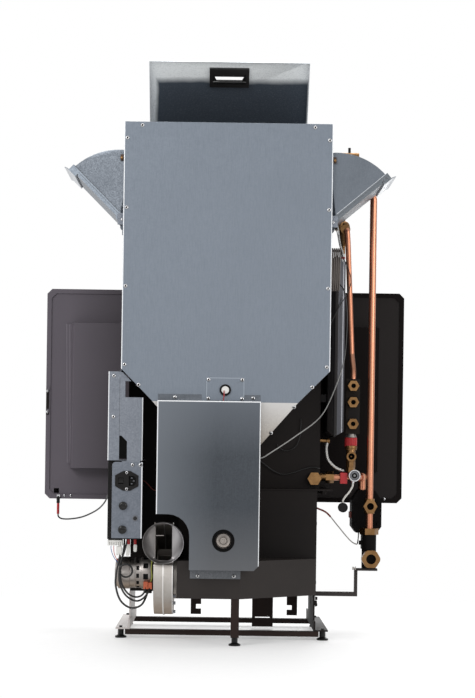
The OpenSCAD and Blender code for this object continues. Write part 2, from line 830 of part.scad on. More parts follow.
screw_d = 9;
module pan_screw(x, z, y) {
    translate([x, y, z]) rotate([90, 0, 0]) {
        cylinder(d = screw_d, h = 1.2, $fn = 32);
        translate([0, 0, 1.2]) cylinder(d1 = screw_d, d2 = 4.5, h = 1.6, $fn = 32);
    }
}
screw_inset = 8;
screw_heights = [hopper_top_z - 40, 1063, 872, hopper_corner_z + 10];
module hopper_screws() {
    edge = hopper_half - screw_inset;
    color("#d5d8dc") {
        for (side = [-1, 1]) {
            for (z = screw_heights) pan_screw(side * edge, z, hopper_y0);
            pan_screw(side * 210, hopper_top_z - 9, hopper_y0);
            pan_screw(side * 211, 632, hopper_y0);
        }
        // Screws of the auger cover tabs
        pan_screw(-122, cover_z1 + 9, hopper_y0 - sheet);
        pan_screw(68, cover_z1 + 9, hopper_y0 - sheet);
        pan_screw(-61, cover_z0 - 16, hopper_y0 - sheet);
        pan_screw(27, cover_z0 - 16, hopper_y0 - sheet);
    }
}

mouth_half = 190;
mouth_y0 = hopper_y0 + 15;
mouth_y1 = hopper_y0 + 190;
side_depth = 205;
lid_y1 = hopper_y0 + side_depth;
lid_y0 = lid_y1 - lid_d;
lid_pin_y = lid_y1 + 6;
lid_pin_z = hopper_top_z + 6;
lid_hinge_x = [-130, 130];
module hopper_top() {
    color(zinc) {
        difference() {
            box([-hopper_half, hopper_y0 + sheet, hopper_top_z - sheet],
                [hopper_half, hopper_y1, hopper_top_z]);
            box([-mouth_half, mouth_y0, hopper_top_z - 5], [mouth_half, mouth_y1, hopper_top_z + 5]);
        }
        for (x = lid_hinge_x) {
            rod_x([x - 30, lid_pin_y, lid_pin_z], pin_dia, 60, 32);
            rod_x([x - 10, lid_pin_y, lid_pin_z], 10, 20, 32);
            box([x - 10, lid_pin_y - 3, hopper_top_z], [x + 10, lid_pin_y + 3, lid_pin_z]);
        }
    }
}

// Turns the lid from its closed place to the place in the photograph
module lid_turn() {
    pin = [0, lid_pin_y, lid_pin_z];
    translate(pin) rotate([-lid_open, 0, 0]) translate(-pin) children();
}
lid_z0 = hopper_top_z + 0.5;
lid_z1 = hopper_top_z + 12;
grip_y1 = lid_y0 + 16 + grip_h;
module hopper_lid() {
    color(zinc) lid_turn() {
        difference() {
            box([-lid_w / 2, lid_y0, lid_z0], [lid_w / 2, lid_y1, lid_z1]);
            box([-lid_w / 2 + sheet, lid_y0 + sheet, lid_z0 - 1],
                [lid_w / 2 - sheet, lid_y1 - sheet, lid_z1 - sheet]);
            box([-grip_w / 2 + 4, lid_y0 + 20, lid_z1 - 3], [grip_w / 2 - 4, grip_y1 - 4, lid_z1 + 1]);
        }
        for (x = lid_hinge_x) for (side = [-1, 1]) difference() {
            union() {
                rod_x([x + side * 20 - 9, lid_pin_y, lid_pin_z], 10, 18, 32);
                box([x + side * 20 - 9, lid_y1 - 0.5, lid_pin_z - 3],
                    [x + side * 20 + 9, lid_pin_y, lid_pin_z + 3]);
            }
            rod_x([x + side * 20 - 10, lid_pin_y, lid_pin_z], pin_bore, 20, 32);
        }
    }
}

slot_w = 92;
slot_h = 8;
slot_in = 41;
module lid_grip() {
    color("#1c1b1b") lid_turn() difference() {
        union() {
            box([-grip_w / 2, lid_y0 + 16, lid_z1], [grip_w / 2, grip_y1, lid_z1 + 2]);
            box([-grip_w / 2 + 4.3, lid_y0 + 20.3, lid_z1 - 9], [grip_w / 2 - 4.3, grip_y1 - 4.3, lid_z1]);
        }
        // Finger recess with the slot that shows through
        box([-grip_w / 2 + 7, lid_y0 + 32, lid_z1 - 7], [grip_w / 2 - 7, grip_y1 - 7, lid_z1 + 3]);
        box([-slot_w / 2 + 6, lid_y0 + slot_in, lid_z1 - 10],
            [slot_w / 2 - 6, lid_y0 + slot_in + slot_h, lid_z1 + 3]);
    }
}

// Loading chutes at the two sides

chute_pivot_x = hopper_half + 10;
cheek_span = 56;
band_in = -9;
plate_out = 4;
lip_out = 9;
block_h = 23;
module chute_flap() {
    // Drawn closed, with the pivot at the origin, x outward and z up
    plate_z1 = flap_len - block_h - 3;
    difference() {
        union() {
            for (y = [chute_y0, chute_y1 - sheet]) along_y(y, sheet) {
                intersection() {
                    circle(r = cheek_r, $fn = 96);
                    polygon([
                        [0, 0], [0, 2 * cheek_r], [-2 * cheek_r * tan(cheek_span / 2), 2 * cheek_r],
                        [-2 * cheek_r * sin(cheek_span), 2 * cheek_r * cos(cheek_span)]
                    ]);
                }
                circle(r = 9, $fn = 40);
            }
            // Bands outside the cheeks, each with a notch
            for (y = [chute_y0 - sheet, chute_y1]) along_y(y, sheet) {
                polygon([
                    [band_in, 0], [plate_out, 0], [plate_out, plate_z1], [0, plate_z1],
                    [0, plate_z1 + 3], [lip_out, plate_z1 + 3], [lip_out, flap_len], [band_in, flap_len]
                ]);
                circle(r = 9, $fn = 40);
            }
        }
        rod_y([0, chute_y0 - 5, 0], pin_bore, chute_y1 - chute_y0 + 10, 32);
    }
    // Plates of the flap and top of its end block
    box([0, chute_y0, 10], [sheet, chute_y1, flap_len]);
    box([plate_out - sheet, chute_y0, 10], [plate_out, chute_y1, plate_z1]);
    box([0, chute_y0, flap_len - sheet], [lip_out, chute_y1, flap_len]);
    // Flared grip lip
    along_y(chute_y0, chute_y1 - chute_y0) polygon([
        [lip_out - sheet, plate_z1 + 3], [lip_out, plate_z1 + 3], [lip_out, flap_len + 3],
        [lip_out + 3, flap_len + 11], [lip_out + 1.4, flap_len + 11], [lip_out - sheet, flap_len + 3]
    ]);
}
module chute_left() {
    color(zinc) mirror([1, 0, 0]) translate([chute_pivot_x, 0, chute_pivot_z]) {
        rotate([0, left_open, 0]) chute_flap();
    }
}
module chute_right() {
    color(zinc) translate([chute_pivot_x, 0, chute_pivot_z]) rotate([0, right_open, 0]) chute_flap();
}
ear_t = 2;
module chute_hinges() {
    color(zinc) for (side = [-1, 1]) for (rear = [0, 1]) {
        gap_y = rear == 1 ? chute_y0 - sheet - run_gap : chute_y1 + sheet + run_gap;
        ear_y = rear == 1 ? gap_y - ear_t : gap_y;
        box([side * hopper_half - (side < 0 ? 14 : 0), ear_y, chute_pivot_z - 20],
            [side * hopper_half + (side < 0 ? 0 : 14), ear_y + ear_t, chute_pivot_z + 8]);
        rod_y([side * chute_pivot_x, min(gap_y, gap_y - (1 - 2 * rear) * 5), chute_pivot_z], pin_dia, 5, 32);
        // Washer disc
        rod_y([side * chute_pivot_x, rear == 1 ? ear_y - 1 : ear_y + ear_t, chute_pivot_z], 11, 1, 40);
    }
}

// Level sensor

sensor_z = 622;
module sensor_plate() {
    color(zinc) {
        difference() {
            box([-46, hopper_y0 - sheet, sensor_z - 25], [46, hopper_y0, sensor_z + 30]);
            rod_y([0, hopper_y0 - 5, sensor_z], 20 + 2 * pin_gap, 10);
        }
        for (x = [-41, 41]) for (z = [sensor_z - 21, sensor_z + 25]) pan_screw(x, z, hopper_y0 - sheet);
    }
}
module level_sensor() {
    color("#e6e4e0") {
        rod_y([0, hopper_y0 - sheet - 8, sensor_z], 18, 40);
    }
    color("#1b1a1a") rod_y([0, hopper_y0 - sheet - 4, sensor_z], 28, 4);
}

// Auger drive

cover_y0 = hopper_y0 - cover_depth;
notch_x1 = -82;
notch_z1 = 320;
notch_r = 52;
module cover_outline(t) {
    // Inner corner of the flue notch is an arc round its own centre
    cx = notch_x1 - notch_r;
    cz = notch_z1 - notch_r;
    r = notch_r + t;
    arc = [for (a = [0:15:90]) [cx + r * cos(a), cz + r * sin(a)]];
    polygon(concat(
        [[cover_x0 + t, cover_z1 - t], [cover_x0 + t, notch_z1 + t]], [for (i = [6:-1:0]) arc[i]],
        [[notch_x1 + t, cover_z0 + t], [cover_x1 - 12 - t / 2, cover_z0 + t],
            [cover_x1 - t, cover_z0 + 12 + t / 2],
         [cover_x1 - t, cover_z1 - t]]
    ));
}
module auger_cover() {
    color(zinc) {
        difference() {
            along_y(cover_y0, cover_depth) cover_outline(0);
            along_y(cover_y0 + sheet, cover_depth) cover_outline(sheet);
            rod_y([0, cover_y0 - 1, auger_z], cover_hole, 5, 64);
        }
        // Tabs on the hopper panel
        box([cover_x0, hopper_y0 - sheet, cover_z1], [-57, hopper_y0, cover_z1 + 17]);
        box([47, hopper_y0 - sheet, cover_z1], [cover_x1, hopper_y0, cover_z1 + 17]);
        // Flange on the low box
        box([-80, hopper_y0 - sheet, cover_z0 - 23], [low_rear_x1, hopper_y0, cover_z0]);
    }
}
module cover_ring() {
    color("#161515") difference() {
        union() {
            rod_y([0, cover_y0 - 2, auger_z], cover_hole + 4, 2, 64);
            rod_y([0, cover_y0, auger_z], cover_hole - 0.1, sheet, 64);
        }
        rod_y([0, cover_y0 - 3, auger_z], 38, 6, 64);
    }
}
module auger_tube() {
    inner = auger_tube_dia - 2 * auger_tube_wall;
    neck = spout_half;
    color("#4a4644") difference() {
        union() {
            rod_y([0, auger_tube_y0, auger_z], auger_tube_dia, auger_tube_y1 - auger_tube_y0, 64);
            rod_y([0, auger_tube_y0 - 3, auger_z], 104, 3, 64);
            box([-neck, spout_y0, auger_z], [neck, spout_y0 + spout_w, auger_neck_z]);
        }
        rod_y([0, auger_tube_y0, auger_z], inner, 400, 64);
        rod_y([0, auger_tube_y0 - 5, auger_z], 24, 10);
        box([-neck + 4, spout_y0 + 4, auger_z], [neck - 4, spout_y0 + spout_w - 4, auger_neck_z + 1]);
    }
}
shaft_y0 = cover_y0 + 5;
motor_y0 = cover_y0 + 12;
gearbox_y0 = auger_tube_y0 - 3 - 30;
module auger_shaft() {
    color("#c9c7c2") rod_y([0, shaft_y0, auger_z], auger_shaft_dia, auger_tube_y0 + 6 - shaft_y0, 40);
}
module auger_screw() {
    // Core and flight twist together into one true helix
    screw_len = auger_tube_y1 - 12 - (auger_tube_y0 + 6);
    blade = 24;
    color("#a6a29c") rod_screw(screw_len, blade);
}
module rod_screw(screw_len, blade) {
    ri = auger_shaft_dia / 2;
    ro = auger_flight_dia / 2;
    translate([0, auger_tube_y0 + 6, auger_z]) rotate([-90, 0, 0])
        linear_extrude(screw_len, twist = -360 * auger_turns, slices = 16 * auger_turns) union() {
            circle(r = ri + 1, $fn = 24);
            polygon(concat([for (a = [-blade / 2:blade / 2:blade / 2]) [ri * cos(a), ri * sin(a)]],
                [for (a = [blade / 2:-blade / 2:-blade / 2]) [ro * cos(a), ro * sin(a)]]));
        }
}
module gearmotor() {
    color("#6d6f72") difference() {
        union() {
            // Gearbox with its cut corners
            along_y(gearbox_y0, 30) polygon([
                [-42, auger_z - 40], [-32, auger_z - 52], [32, auger_z - 52], [42, auger_z - 40],
                [42, auger_z + 58], [32, auger_z + 68], [-32, auger_z + 68], [-42, auger_z + 58]
            ]);
            rod_y([0, motor_y0, auger_z], 74, gearbox_y0 - motor_y0, 64);
            rod_y([0, motor_y0 - 4, auger_z], 34, 4);
        }
        rod_y([0, motor_y0 - 5, auger_z], auger_shaft_dia + 2 * pin_gap, 200, 40);
    }
}

// Controls

bracket_x0 = -285;
bracket_x1 = -200;
bracket_y = hopper_y0 + 15;
bracket_z0 = 449;
bracket_z1 = 663;
bracket_tab_z1 = 700;
side_y1 = hopper_y0 + side_depth;
module control_bracket() {
    color(zinc) {
        difference() {
            // Rear plate with its cut-out
            along_y(bracket_y, sheet) polygon([
                [bracket_x0, bracket_z0], [bracket_x0, bracket_z1], [-250.5, bracket_z1],
                [-228.8, 641], [-243.6, 641], [-243.6, 602], [bracket_x1, 602],
                [bracket_x1, bracket_z0], [-205, bracket_z0], [-205, 428], [-250, 428], [-250, bracket_z0]
            ]);
            along_y(bracket_y - 1, 4) polygon([
                [-257, 440], [-257, 508], [-252, 508], [-238, 494], [-238, 446], [-250, 446], [-250, 440]
            ]);
        }
        box([bracket_x0, bracket_y + sheet, bracket_z0], [bracket_x0 + sheet, side_y1, bracket_z1]);
        box([bracket_x0, bracket_y, bracket_z1], [-hopper_half, side_y1, bracket_z1 + sheet]);
        // Tab that is screwed to the side of the hopper
        box([-hopper_half - sheet, bracket_y + sheet, bracket_z1], [-hopper_half, side_y1, bracket_tab_z1]);
        box([bracket_x1 - sheet, bracket_y + sheet, bracket_z0], [bracket_x1, bracket_y + 22, 602]);
        box([bracket_x0, bracket_y, bracket_z0 - sheet], [bracket_x1, side_y1, bracket_z0]);
        pan_screw(-272, 654, bracket_y);
        pan_screw(-272, 554, bracket_y);
    }
}
box_y1 = side_y1;
box_rear = bracket_y + 30;
module control_box() {
    color("#242223") {
        box([bracket_x0, box_rear, inlet_z0 - 4], [-205, box_y1, bracket_z0 - sheet]);
        // Sockets of the loom, with their white plugs
        for (i = [0:2]) box([-282 + i * 13, box_rear + 6, inlet_z0 - 14],
            [-272 + i * 13, box_rear + 26, inlet_z0 - 4]);
    }
    color("#e9e7e3") for (i = [0:2]) {
        box([-282 + i * 13, box_rear + 6, inlet_z0 - 26], [-272 + i * 13, box_rear + 26, inlet_z0 - 14]);
    }
}

inlet_x0 = -273;
inlet_y0 = bracket_y - sheet;
socket_x = -237;
socket_z = 398;
cap_places = [[-245, 337], [-246, 279]];
reset_place = [-215.5, 307];
flange_t = 3;
module inlet_plate() {
    corner = 9;
    color(zinc) difference() {
        along_y(inlet_y0, sheet) union() {
            translate([inlet_x0, inlet_z0]) square([inlet_w, inlet_z1 - inlet_z0 - corner]);
            translate([inlet_x0 + corner, inlet_z0]) square([inlet_w - corner, inlet_z1 - inlet_z0]);
            translate([inlet_x0 + corner, inlet_z1 - corner]) circle(r = corner, $fn = 40);
        }
        box([socket_x - 24.3, inlet_y0 - 1, socket_z - 14], [socket_x + 24.3, inlet_y0 + 4, socket_z + 14]);
        for (c = cap_places) rod_y([c[0], inlet_y0 - 1, c[1]], 10.1, 4, 32);
        rod_y([reset_place[0], inlet_y0 - 1, reset_place[1]], reset_dia + 3.1, 4, 32);
    }
    color("#d5d8dc") for (x = [-223.5, -204.5]) pan_screw(x, 437, inlet_y0);
}

rocker_x = socket_x - 14.5;
module power_inlet() {
    color("#141414") difference() {
        union() {
            along_y(inlet_y0 - flange_t, flange_t) polygon([
                [socket_x - 28.5, socket_z - 13], [socket_x - 28.5, socket_z + 13],
                [socket_x - 9, socket_z + 24],
                [socket_x + 9, socket_z + 24], [socket_x + 28.5, socket_z + 13],
                [socket_x + 28.5, socket_z - 13],
                [socket_x + 9, socket_z - 24], [socket_x - 9, socket_z - 24]
            ]);
            box([socket_x - 24, inlet_y0, socket_z - 13.7],
                [socket_x + 24, inlet_y0 + 26, socket_z + 13.7]);
        }
        // Socket recess, with its cut corners at the right
        along_y(inlet_y0 - flange_t - 1, 18) polygon([
            [socket_x + 5, socket_z - 12], [socket_x + 5, socket_z + 12], [socket_x + 17, socket_z + 12],
            [socket_x + 22, socket_z + 7], [socket_x + 22, socket_z - 7], [socket_x + 17, socket_z - 12]
        ]);
        // Well of the rocker switch
        box([rocker_x - 6.5, inlet_y0 - flange_t - 1, socket_z - 7.5],
            [rocker_x + 6.5, inlet_y0 + 12, socket_z + 7.5]);
    }
    color("#c9b070") for (z = [-7, 0, 7]) {
        box([socket_x + (z == 0 ? 15 : 10), inlet_y0 - 1, socket_z + z - 1],
            [socket_x + (z == 0 ? 19 : 14), inlet_y0 + 14, socket_z + z + 1]);
    }
    color("#141414") rod_x([rocker_x - 6.5, inlet_y0 + 3, socket_z], 2.4, 13, 32);
    color("#d5d8dc") for (z = [-20, 20]) pan_screw(socket_x, socket_z + z, inlet_y0 - flange_t);
}
rocker_tilt = 8;
module rocker_switch() {
    pivot = [rocker_x, inlet_y0 + 3, socket_z];
    color("#1b1b1b") translate(pivot) rotate([-rocker_tilt, 0, 0]) difference() {
        along_x(-6, 12) polygon([[-5.5, -6], [-4.6, 0], [-5.5, 6], [3, 5], [3, -5]]);
        rod_x([-7, 0, 0], 2.5, 14, 32);
    }
}

module reset_caps() {
    color("#121212") for (c = cap_places) {
        rod_y([c[0], inlet_y0 - 10, c[1]], cap_dia, 10);
        rod_y([c[0], inlet_y0, c[1]], 10, 14, 32);
    }
    // Collar and guide of the small reset button
    color("#55585c") difference() {
        rod_y([reset_place[0], inlet_y0 - 2, reset_place[1]], reset_dia + 5, 2, 40);
        rod_y([reset_place[0], inlet_y0 - 3, reset_place[1]], reset_dia + 2 * pin_gap, 4, 40);
    }
    color("#55585c") difference() {
        rod_y([reset_place[0], inlet_y0, reset_place[1]], reset_dia + 3, 14, 40);
        // The bore leaves room for the travel behind the button
        rod_y([reset_place[0], inlet_y0 - 1, reset_place[1]], reset_dia + 2 * pin_gap, 9 + reset_travel);
    }
}
module reset_button() {
    color("#7a3230") rod_y([reset_place[0], inlet_y0 - 5, reset_place[1]], reset_dia, 12, 40);
}

// Fume fan and flue

fan_x1 = -121;
fan_x0 = fan_x1 - volute_w;
flue_x = -146;
flue_back_y = hopper_y0 + 40;
volute_wall = 3;
duct_z0 = 198;
duct_z1 = 298;
duct_y0 = flue_back_y;
module volute_profile(t) {
    // The round part stops under the duct, where the flue spigot sits
    difference() {
        translate([fan_y, fan_z]) circle(r = volute_r - t, $fn = 96);
        translate([duct_y0 - 100 + t, duct_z0 - 2 - t]) square([100, 100]);
    }
    polygon([
        [duct_y0, duct_z0 + t], [duct_y0, duct_z1 - t], [fan_y, fan_z + volute_r - t], [fan_y, duct_z0 + t]
    ]);
}
module fan_volute() {
    color(cast_grey) difference() {
        union() {
            along_x(fan_x0, volute_w) volute_profile(0);
            // Seam flange of the two halves
            along_x(fan_x0 + volute_w / 2 - 2, 4) volute_profile_rim();
            // Neck to the base body
            rod_x([fan_x1, fan_y, fan_z], 126, base_left_x - fan_x1, 64);
        }
        along_x(fan_x0 + volute_wall, volute_w - 2 * volute_wall) volute_profile(volute_wall);
        box([fan_x0 + volute_wall, duct_y0 - 1, duct_z0 + volute_wall],
            [fan_x1 - volute_wall, duct_y0 + 5, duct_z1 - volute_wall]);
        rod_x([fan_x1 - 5, fan_y, fan_z], fan_inlet_dia, 30, 64);
        rod_x([fan_x0 - 5, fan_y, fan_z], 20, 20, 40);
    }
}
module volute_profile_rim() {
    intersection() {
        translate([fan_y, fan_z]) circle(r = volute_r + 2, $fn = 96);
        translate([fan_y - 200, fan_z - 200]) square([400, 200]);
    }
}
motor_x0 = -268;
shaft_x0 = -215;
module fan_motor() {
    color("#b3b1ad") difference() {
        union() {
            rod_x([motor_x0, fan_y, fan_z], fan_motor_dia - 10, 8, 64);
            rod_x([motor_x0 + 8, fan_y, fan_z], fan_motor_dia, 30, 64);
            rod_x([motor_x0 + 38, fan_y, fan_z], fan_motor_dia - 6, 28, 64);
            rod_x([motor_x0 + 66, fan_y, fan_z], fan_motor_dia, fan_x0 - motor_x0 - 66 - 3, 64);
            rod_x([fan_x0 - 3, fan_y, fan_z], 96, 3, 64);
            // Terminal block under the motor
            box([-196, -150, 118], [-176, -126, 134]);
        }
        rod_x([shaft_x0 - 2, fan_y, fan_z], 8 + 2 * pin_gap, 200, 40);
    }
}
module fan_impeller() {
    wheel_r = 64;
    back_x = fan_x0 + volute_wall + 4;
    wheel_w = volute_w - 2 * volute_wall - 9;
    color("#8e8d8a") {
        rod_x([shaft_x0, fan_y, fan_z], 8, back_x - shaft_x0, 40);
        rod_x([back_x, fan_y, fan_z], 2 * wheel_r, 2, 64);
        rod_x([back_x + 2, fan_y, fan_z], 24, 14, 40);
        translate([back_x + 2, fan_y, fan_z]) for (i = [0:blade_count - 1]) {
            rotate([i * 360 / blade_count, 0, 0]) translate([0, 30, 0]) rotate([20, 0, 0]) {
                cube([wheel_w - 2, 32, 1.6]);
            }
        }
    }
}
spigot_t = 1;
module flue_spigot() {
    color("#8f8f8e") difference() {
        rod_y([flue_x, flue_back_y - flue_len, flue_z], flue_dia, flue_len, 96);
        rod_y([flue_x, flue_back_y - flue_len - 1, flue_z], flue_dia - 2 * spigot_t, flue_len - 1, 96);
        // Rounded opening of the fan duct
        for (z = [-1, 1]) for (x = [-1, 1]) {
            rod_y([flue_x + x * 11, flue_back_y - 5, flue_z + z * 34], 20, 10, 32);
        }
        box([flue_x - 21, flue_back_y - 5, flue_z - 34], [flue_x + 21, flue_back_y + 5, flue_z + 34]);
        box([flue_x - 11, flue_back_y - 5, flue_z - 44], [flue_x + 11, flue_back_y + 5, flue_z + 44]);
    }
}

// Water side

vessel_x0 = 256;
vessel_y0 = -58;
vessel_z0 = 514;
module expansion_vessel() {
    y1 = vessel_y0 + vessel_d;
    z1 = vessel_z0 + vessel_h;
    rim_x = vessel_x0 + vessel_w * 0.5;
    color("#a9adb3") difference() {
        vessel_solid(y1, z1, rim_x);
        // Air and water side inside the pressed shells
        box([vessel_x0 + 9, vessel_y0 + 17, vessel_z0 + 17], [vessel_x0 + vessel_w - 3, y1 - 17, z1 - 17]);
    }
}
module vessel_solid(y1, z1, rim_x) {
    union() {
        hull() {
            box([vessel_x0 + 6, vessel_y0 + 14, vessel_z0 + 14], [vessel_x0 + 7, y1 - 14, z1 - 14]);
            box([rim_x - 6, vessel_y0 + 4, vessel_z0 + 4], [rim_x - 3, y1 - 4, z1 - 4]);
        }
        hull() {
            box([vessel_x0 + vessel_w - 1, vessel_y0 + 14, vessel_z0 + 14],
                [vessel_x0 + vessel_w, y1 - 14, z1 - 14]);
            box([rim_x + 3, vessel_y0 + 4, vessel_z0 + 4], [rim_x + 6, y1 - 4, z1 - 4]);
        }
        box([rim_x - 3, vessel_y0, vessel_z0], [rim_x + 3, y1, z1]);
        // Two straps to the side of the boiler
        for (z = [vessel_z0 + 90, z1 - 110]) {
            box([boiler_half, boiler_y0 + 20, z], [vessel_x0 + 6, boiler_y0 + 60, z + 20]);
        }
    }
}

riser_top_z = 1142;
tee_z = 338;
column_x = 290;
outlet_z = 1072;
vent_z = 1236.5;
elbow_x = 301;
elbow_z = 1046;
strip_x = 329;
strip_z0 = 523;
strip_z1 = 664;
strip_y0 = -18;
strip_t = 8;
strip_mid_y = strip_y0 + strip_t / 2;
port_z = [646, 604, 548.5];
valve_x = 326;
valve_z0 = 438;
valve_z1 = 490;
tap_z = 411;
ring_x = 335;
tap_y = pipe_y;
pump_y0 = 18;
pump_top_z = 379;
boss_out = 22;
drop_y = -37;
return_dia = 16;
elbow_at = [360, 40, tap_z];
elbow_way = unit([22, 48, 0]);
elbow_arm = 16;
lower_port_z = 204;
lower_x = 376;
ring_z = 416;
module copper_pipes() {
    color(copper) {
        // Riser from the tee to the air separator column
        bent_pipe([[riser_x, pipe_y, tee_z + 19], [riser_x, pipe_y, riser_top_z],
            [column_x + boss_out, pipe_y, riser_top_z]], riser_dia, 18);
        // Boiler outlet to the column
        rod([boiler_half, pipe_y, outlet_z], [column_x - boss_out, pipe_y, outlet_z], 22);
        // Pipe from the elbow down to the port strip
        kinked_pipe([[elbow_x + 3, pipe_y - 20, elbow_z], [elbow_x + 3, drop_y + 1, elbow_z],
            [elbow_x + 6, drop_y, elbow_z - 7], [elbow_x + 8, drop_y, elbow_z - 30], [323, drop_y + 5, 727],
            [strip_x, strip_mid_y, 690], [strip_x, strip_mid_y, strip_z1]], outlet_pipe_dia);
        // Return from the brass nut to the elbow on the pump
        kinked_pipe([[283, tap_y, tap_z], [338, tap_y, tap_z], elbow_at - elbow_arm * elbow_way],
            return_dia);
        // Stub under the safety valve
        rod([valve_x, pipe_y, tap_z + 8], [valve_x, pipe_y, valve_z0 - 14], 13);
        // Stub between tee and union nut
        rod([riser_x, pipe_y, 281], [riser_x, pipe_y, tee_z - 19], riser_dia);
    }
}

module hex_y(x, z, y0, flats, len) {
    translate([x, y0 + len, z]) rotate([90, 0, 0]) linear_extrude(len) hexagon(flats);
}
module hex_z(x, y, z0, flats, len) {
    translate([x, y, z0]) linear_extrude(len) hexagon(flats);
}
module brass_fittings() {
    color(brass) {
        // Air separator column with the vent on top
        rod_z([column_x, pipe_y, elbow_z], 28, 192);
        rod_x([column_x, pipe_y, riser_top_z], 26, boss_out, 40);
        rod_x([column_x - boss_out, pipe_y, outlet_z], 26, boss_out, 40);
        rod_x([column_x, pipe_y, vent_z], 19, 46.5, 40);
        // Round elbow below it, with the nut of the pipe and the drain stub
        translate([elbow_x, pipe_y, 1006]) cylinder(d1 = 16, d2 = 29.6, h = 26, $fn = 48);
        rod_z([elbow_x, pipe_y, 1032], 30, 24);
        translate([elbow_x, pipe_y, 1056]) sphere(d = 29.6, $fn = 48);
        rod_y([elbow_x + 2, pipe_y - 20, elbow_z], 25, 20);
        rod_z([elbow_x - 2, pipe_y, 970], 11, 40, 32);
        // Plug in the rear face of the boiler
        hex_y(232, 407, boiler_y0 - 14, 31, 14);
        // Tee with its port towards the rear
        difference() {
            union() {
                rod_z([riser_x, pipe_y, tee_z - 19], 26, 38);
                hex_y(riser_x, tee_z, pipe_y - 30, 31, 20);
            }
            rod_y([riser_x, pipe_y - 31, tee_z], 18, 26, 40);
        }
        hex_z(riser_x, pipe_y, 265, 42, 16);
        // Lower port of the pump valve
        difference() {
            intersection() {
                hex_y(lower_x + 2, lower_port_z, pipe_y - 45, 44, 26);
                rod_y([lower_x + 2, pipe_y - 45, lower_port_z], 47, 26, 60);
            }
            rod_y([lower_x + 2, pipe_y - 46, lower_port_z], 25, 22);
        }
        // Elbow of the return on top of the pump
        translate(elbow_at) sphere(d = 24, $fn = 48);
        rod(elbow_at, elbow_at - elbow_arm * elbow_way, 21);
        rod(elbow_at, [elbow_at[0], elbow_at[1], pump_top_z], 21);
        // Nut of the return in the boiler side
        translate([262, tap_y, tap_z]) rotate([0, 90, 0]) linear_extrude(21) hexagon(26);
        rod_x([boiler_half, tap_y, tap_z], 20, 16, 40);
    }
    // Cap of the vent
    color("#1f1d1d") rod_z([column_x + 22, pipe_y, vent_z], 6.8, 22, 32);
}
module port_strip() {
    color("#232021") difference() {
        box([strip_x - 18, strip_y0, strip_z0], [strip_x + 18, strip_y0 + strip_t, strip_z1]);
        for (z = port_z) rod_y([strip_x, strip_y0 - 1, z], port_bore, 6, 32);
    }
    color("#232021") box([strip_x - 18, strip_y0 + strip_t, strip_z0 + 60],
        [vessel_x0 + vessel_w + 10, strip_y0 + strip_t + 20, strip_z0 + 80]);
    color(brass) for (z = port_z) difference() {
        hex_y(strip_x, z, strip_y0 - 14, port_flats, 14);
        rod_y([strip_x, strip_y0 - 15, z], port_bore, 16, 40);
    }
}
module safety_valve() {
    color(brass) difference() {
        union() {
            rod_z([valve_x, pipe_y, valve_z0], 24, valve_z1 - valve_z0 - 8);
            rod_z([valve_x, pipe_y, valve_z1 - 8], 31, 8);
            rod_y([valve_x, pipe_y - 26, 465], 25, 26);
            hex_z(valve_x, pipe_y, valve_z0 - 14, 20, 14);
            rod_z([valve_x, pipe_y, valve_z1], 8, 26, 32);
        }
        rod_y([valve_x, pipe_y - 27, 465], 16, 24, 40);
    }
    // Grey head above the turning cap
    color("#8a8d90") difference() {
        translate([valve_x, pipe_y, valve_z1 + 24]) cylinder(d1 = 30, d2 = 22, h = 9, $fn = 48);
        rod_z([valve_x, pipe_y, valve_z1 + 20], 8, 6, 32);
    }
}
knurls = 20;
module valve_cap() {
    color("#b01e2a") difference() {
        rod_z([valve_x, pipe_y, valve_z1 + run_gap], valve_cap_dia, 23, 60);
        rod_z([valve_x, pipe_y, valve_z1 - 1], 8 + 2 * pin_gap, 30, 32);
        for (i = [0:knurls - 1]) translate([valve_x, pipe_y, valve_z1 - 1]) rotate(i * 360 / knurls) {
            rod_z([valve_cap_dia / 2 + 0.6, 0, 0], 3, 30, 16);
        }
    }
}
module drain_tap() {
    // Red body on the return pipe, with the union ring
    color("#c02028") difference() {
        box([299, tap_y - 12, tap_z - 16], [317, tap_y + 12, tap_z + 12]);
        rod_x([298, tap_y, tap_z], 16 + 2 * pin_gap, 30, 40);
    }
    color("#c9ccd0") difference() {
        union() {
            rod_y([ring_x, tap_y - 23, ring_z], 31, 10);
            rod_y([ring_x, tap_y - 14, 411], 14, 6, 40);
            // Nipple of the gauge tube
            rod_z([331, -26, 396], 8, 10, 32);
        }
        rod_y([ring_x, tap_y - 24, ring_z], 12, 9, 40);
    }
}
module circulation_pump() {
    color("#1f1d1d") {
        // Motor head with its cut corners
        along_y(pump_y0, 68) polygon([
            [333, 284], [345, 268], [398, 268], [410, 284], [410, 352], [392, pump_top_z],
            [350, pump_top_z], [333, 352]
        ]);
        // Valve body below, on the axis of the riser
        rod_z([lower_x, pipe_y, 178], 37, 87);
        rod_y([lower_x + 2, pipe_y - 19, lower_port_z], 34, 19);
        // Plug at its side
        rod_x([350, pipe_y, 244], 11, 20, 32);
        // Bridge to the pump volute
        rod_y([lower_x, pipe_y + 15, 240], 30, 30, 40);
        box([lower_x - 15, pump_y0 + 10, 225], [lower_x + 15, pump_y0 + 50, 268]);
    }
    color(dark_steel) {
        // Arm that carries the pump from the stand
        box([base_half, pipe_y - 8, 106], [347, pipe_y + 8, 117]);
        box([339, pipe_y - 8, 117], [347, pipe_y + 8, 172]);
        box([339, pipe_y - 8, 172], [398, pipe_y + 8, 178]);
    }
}

// Hoses and cables that hang free

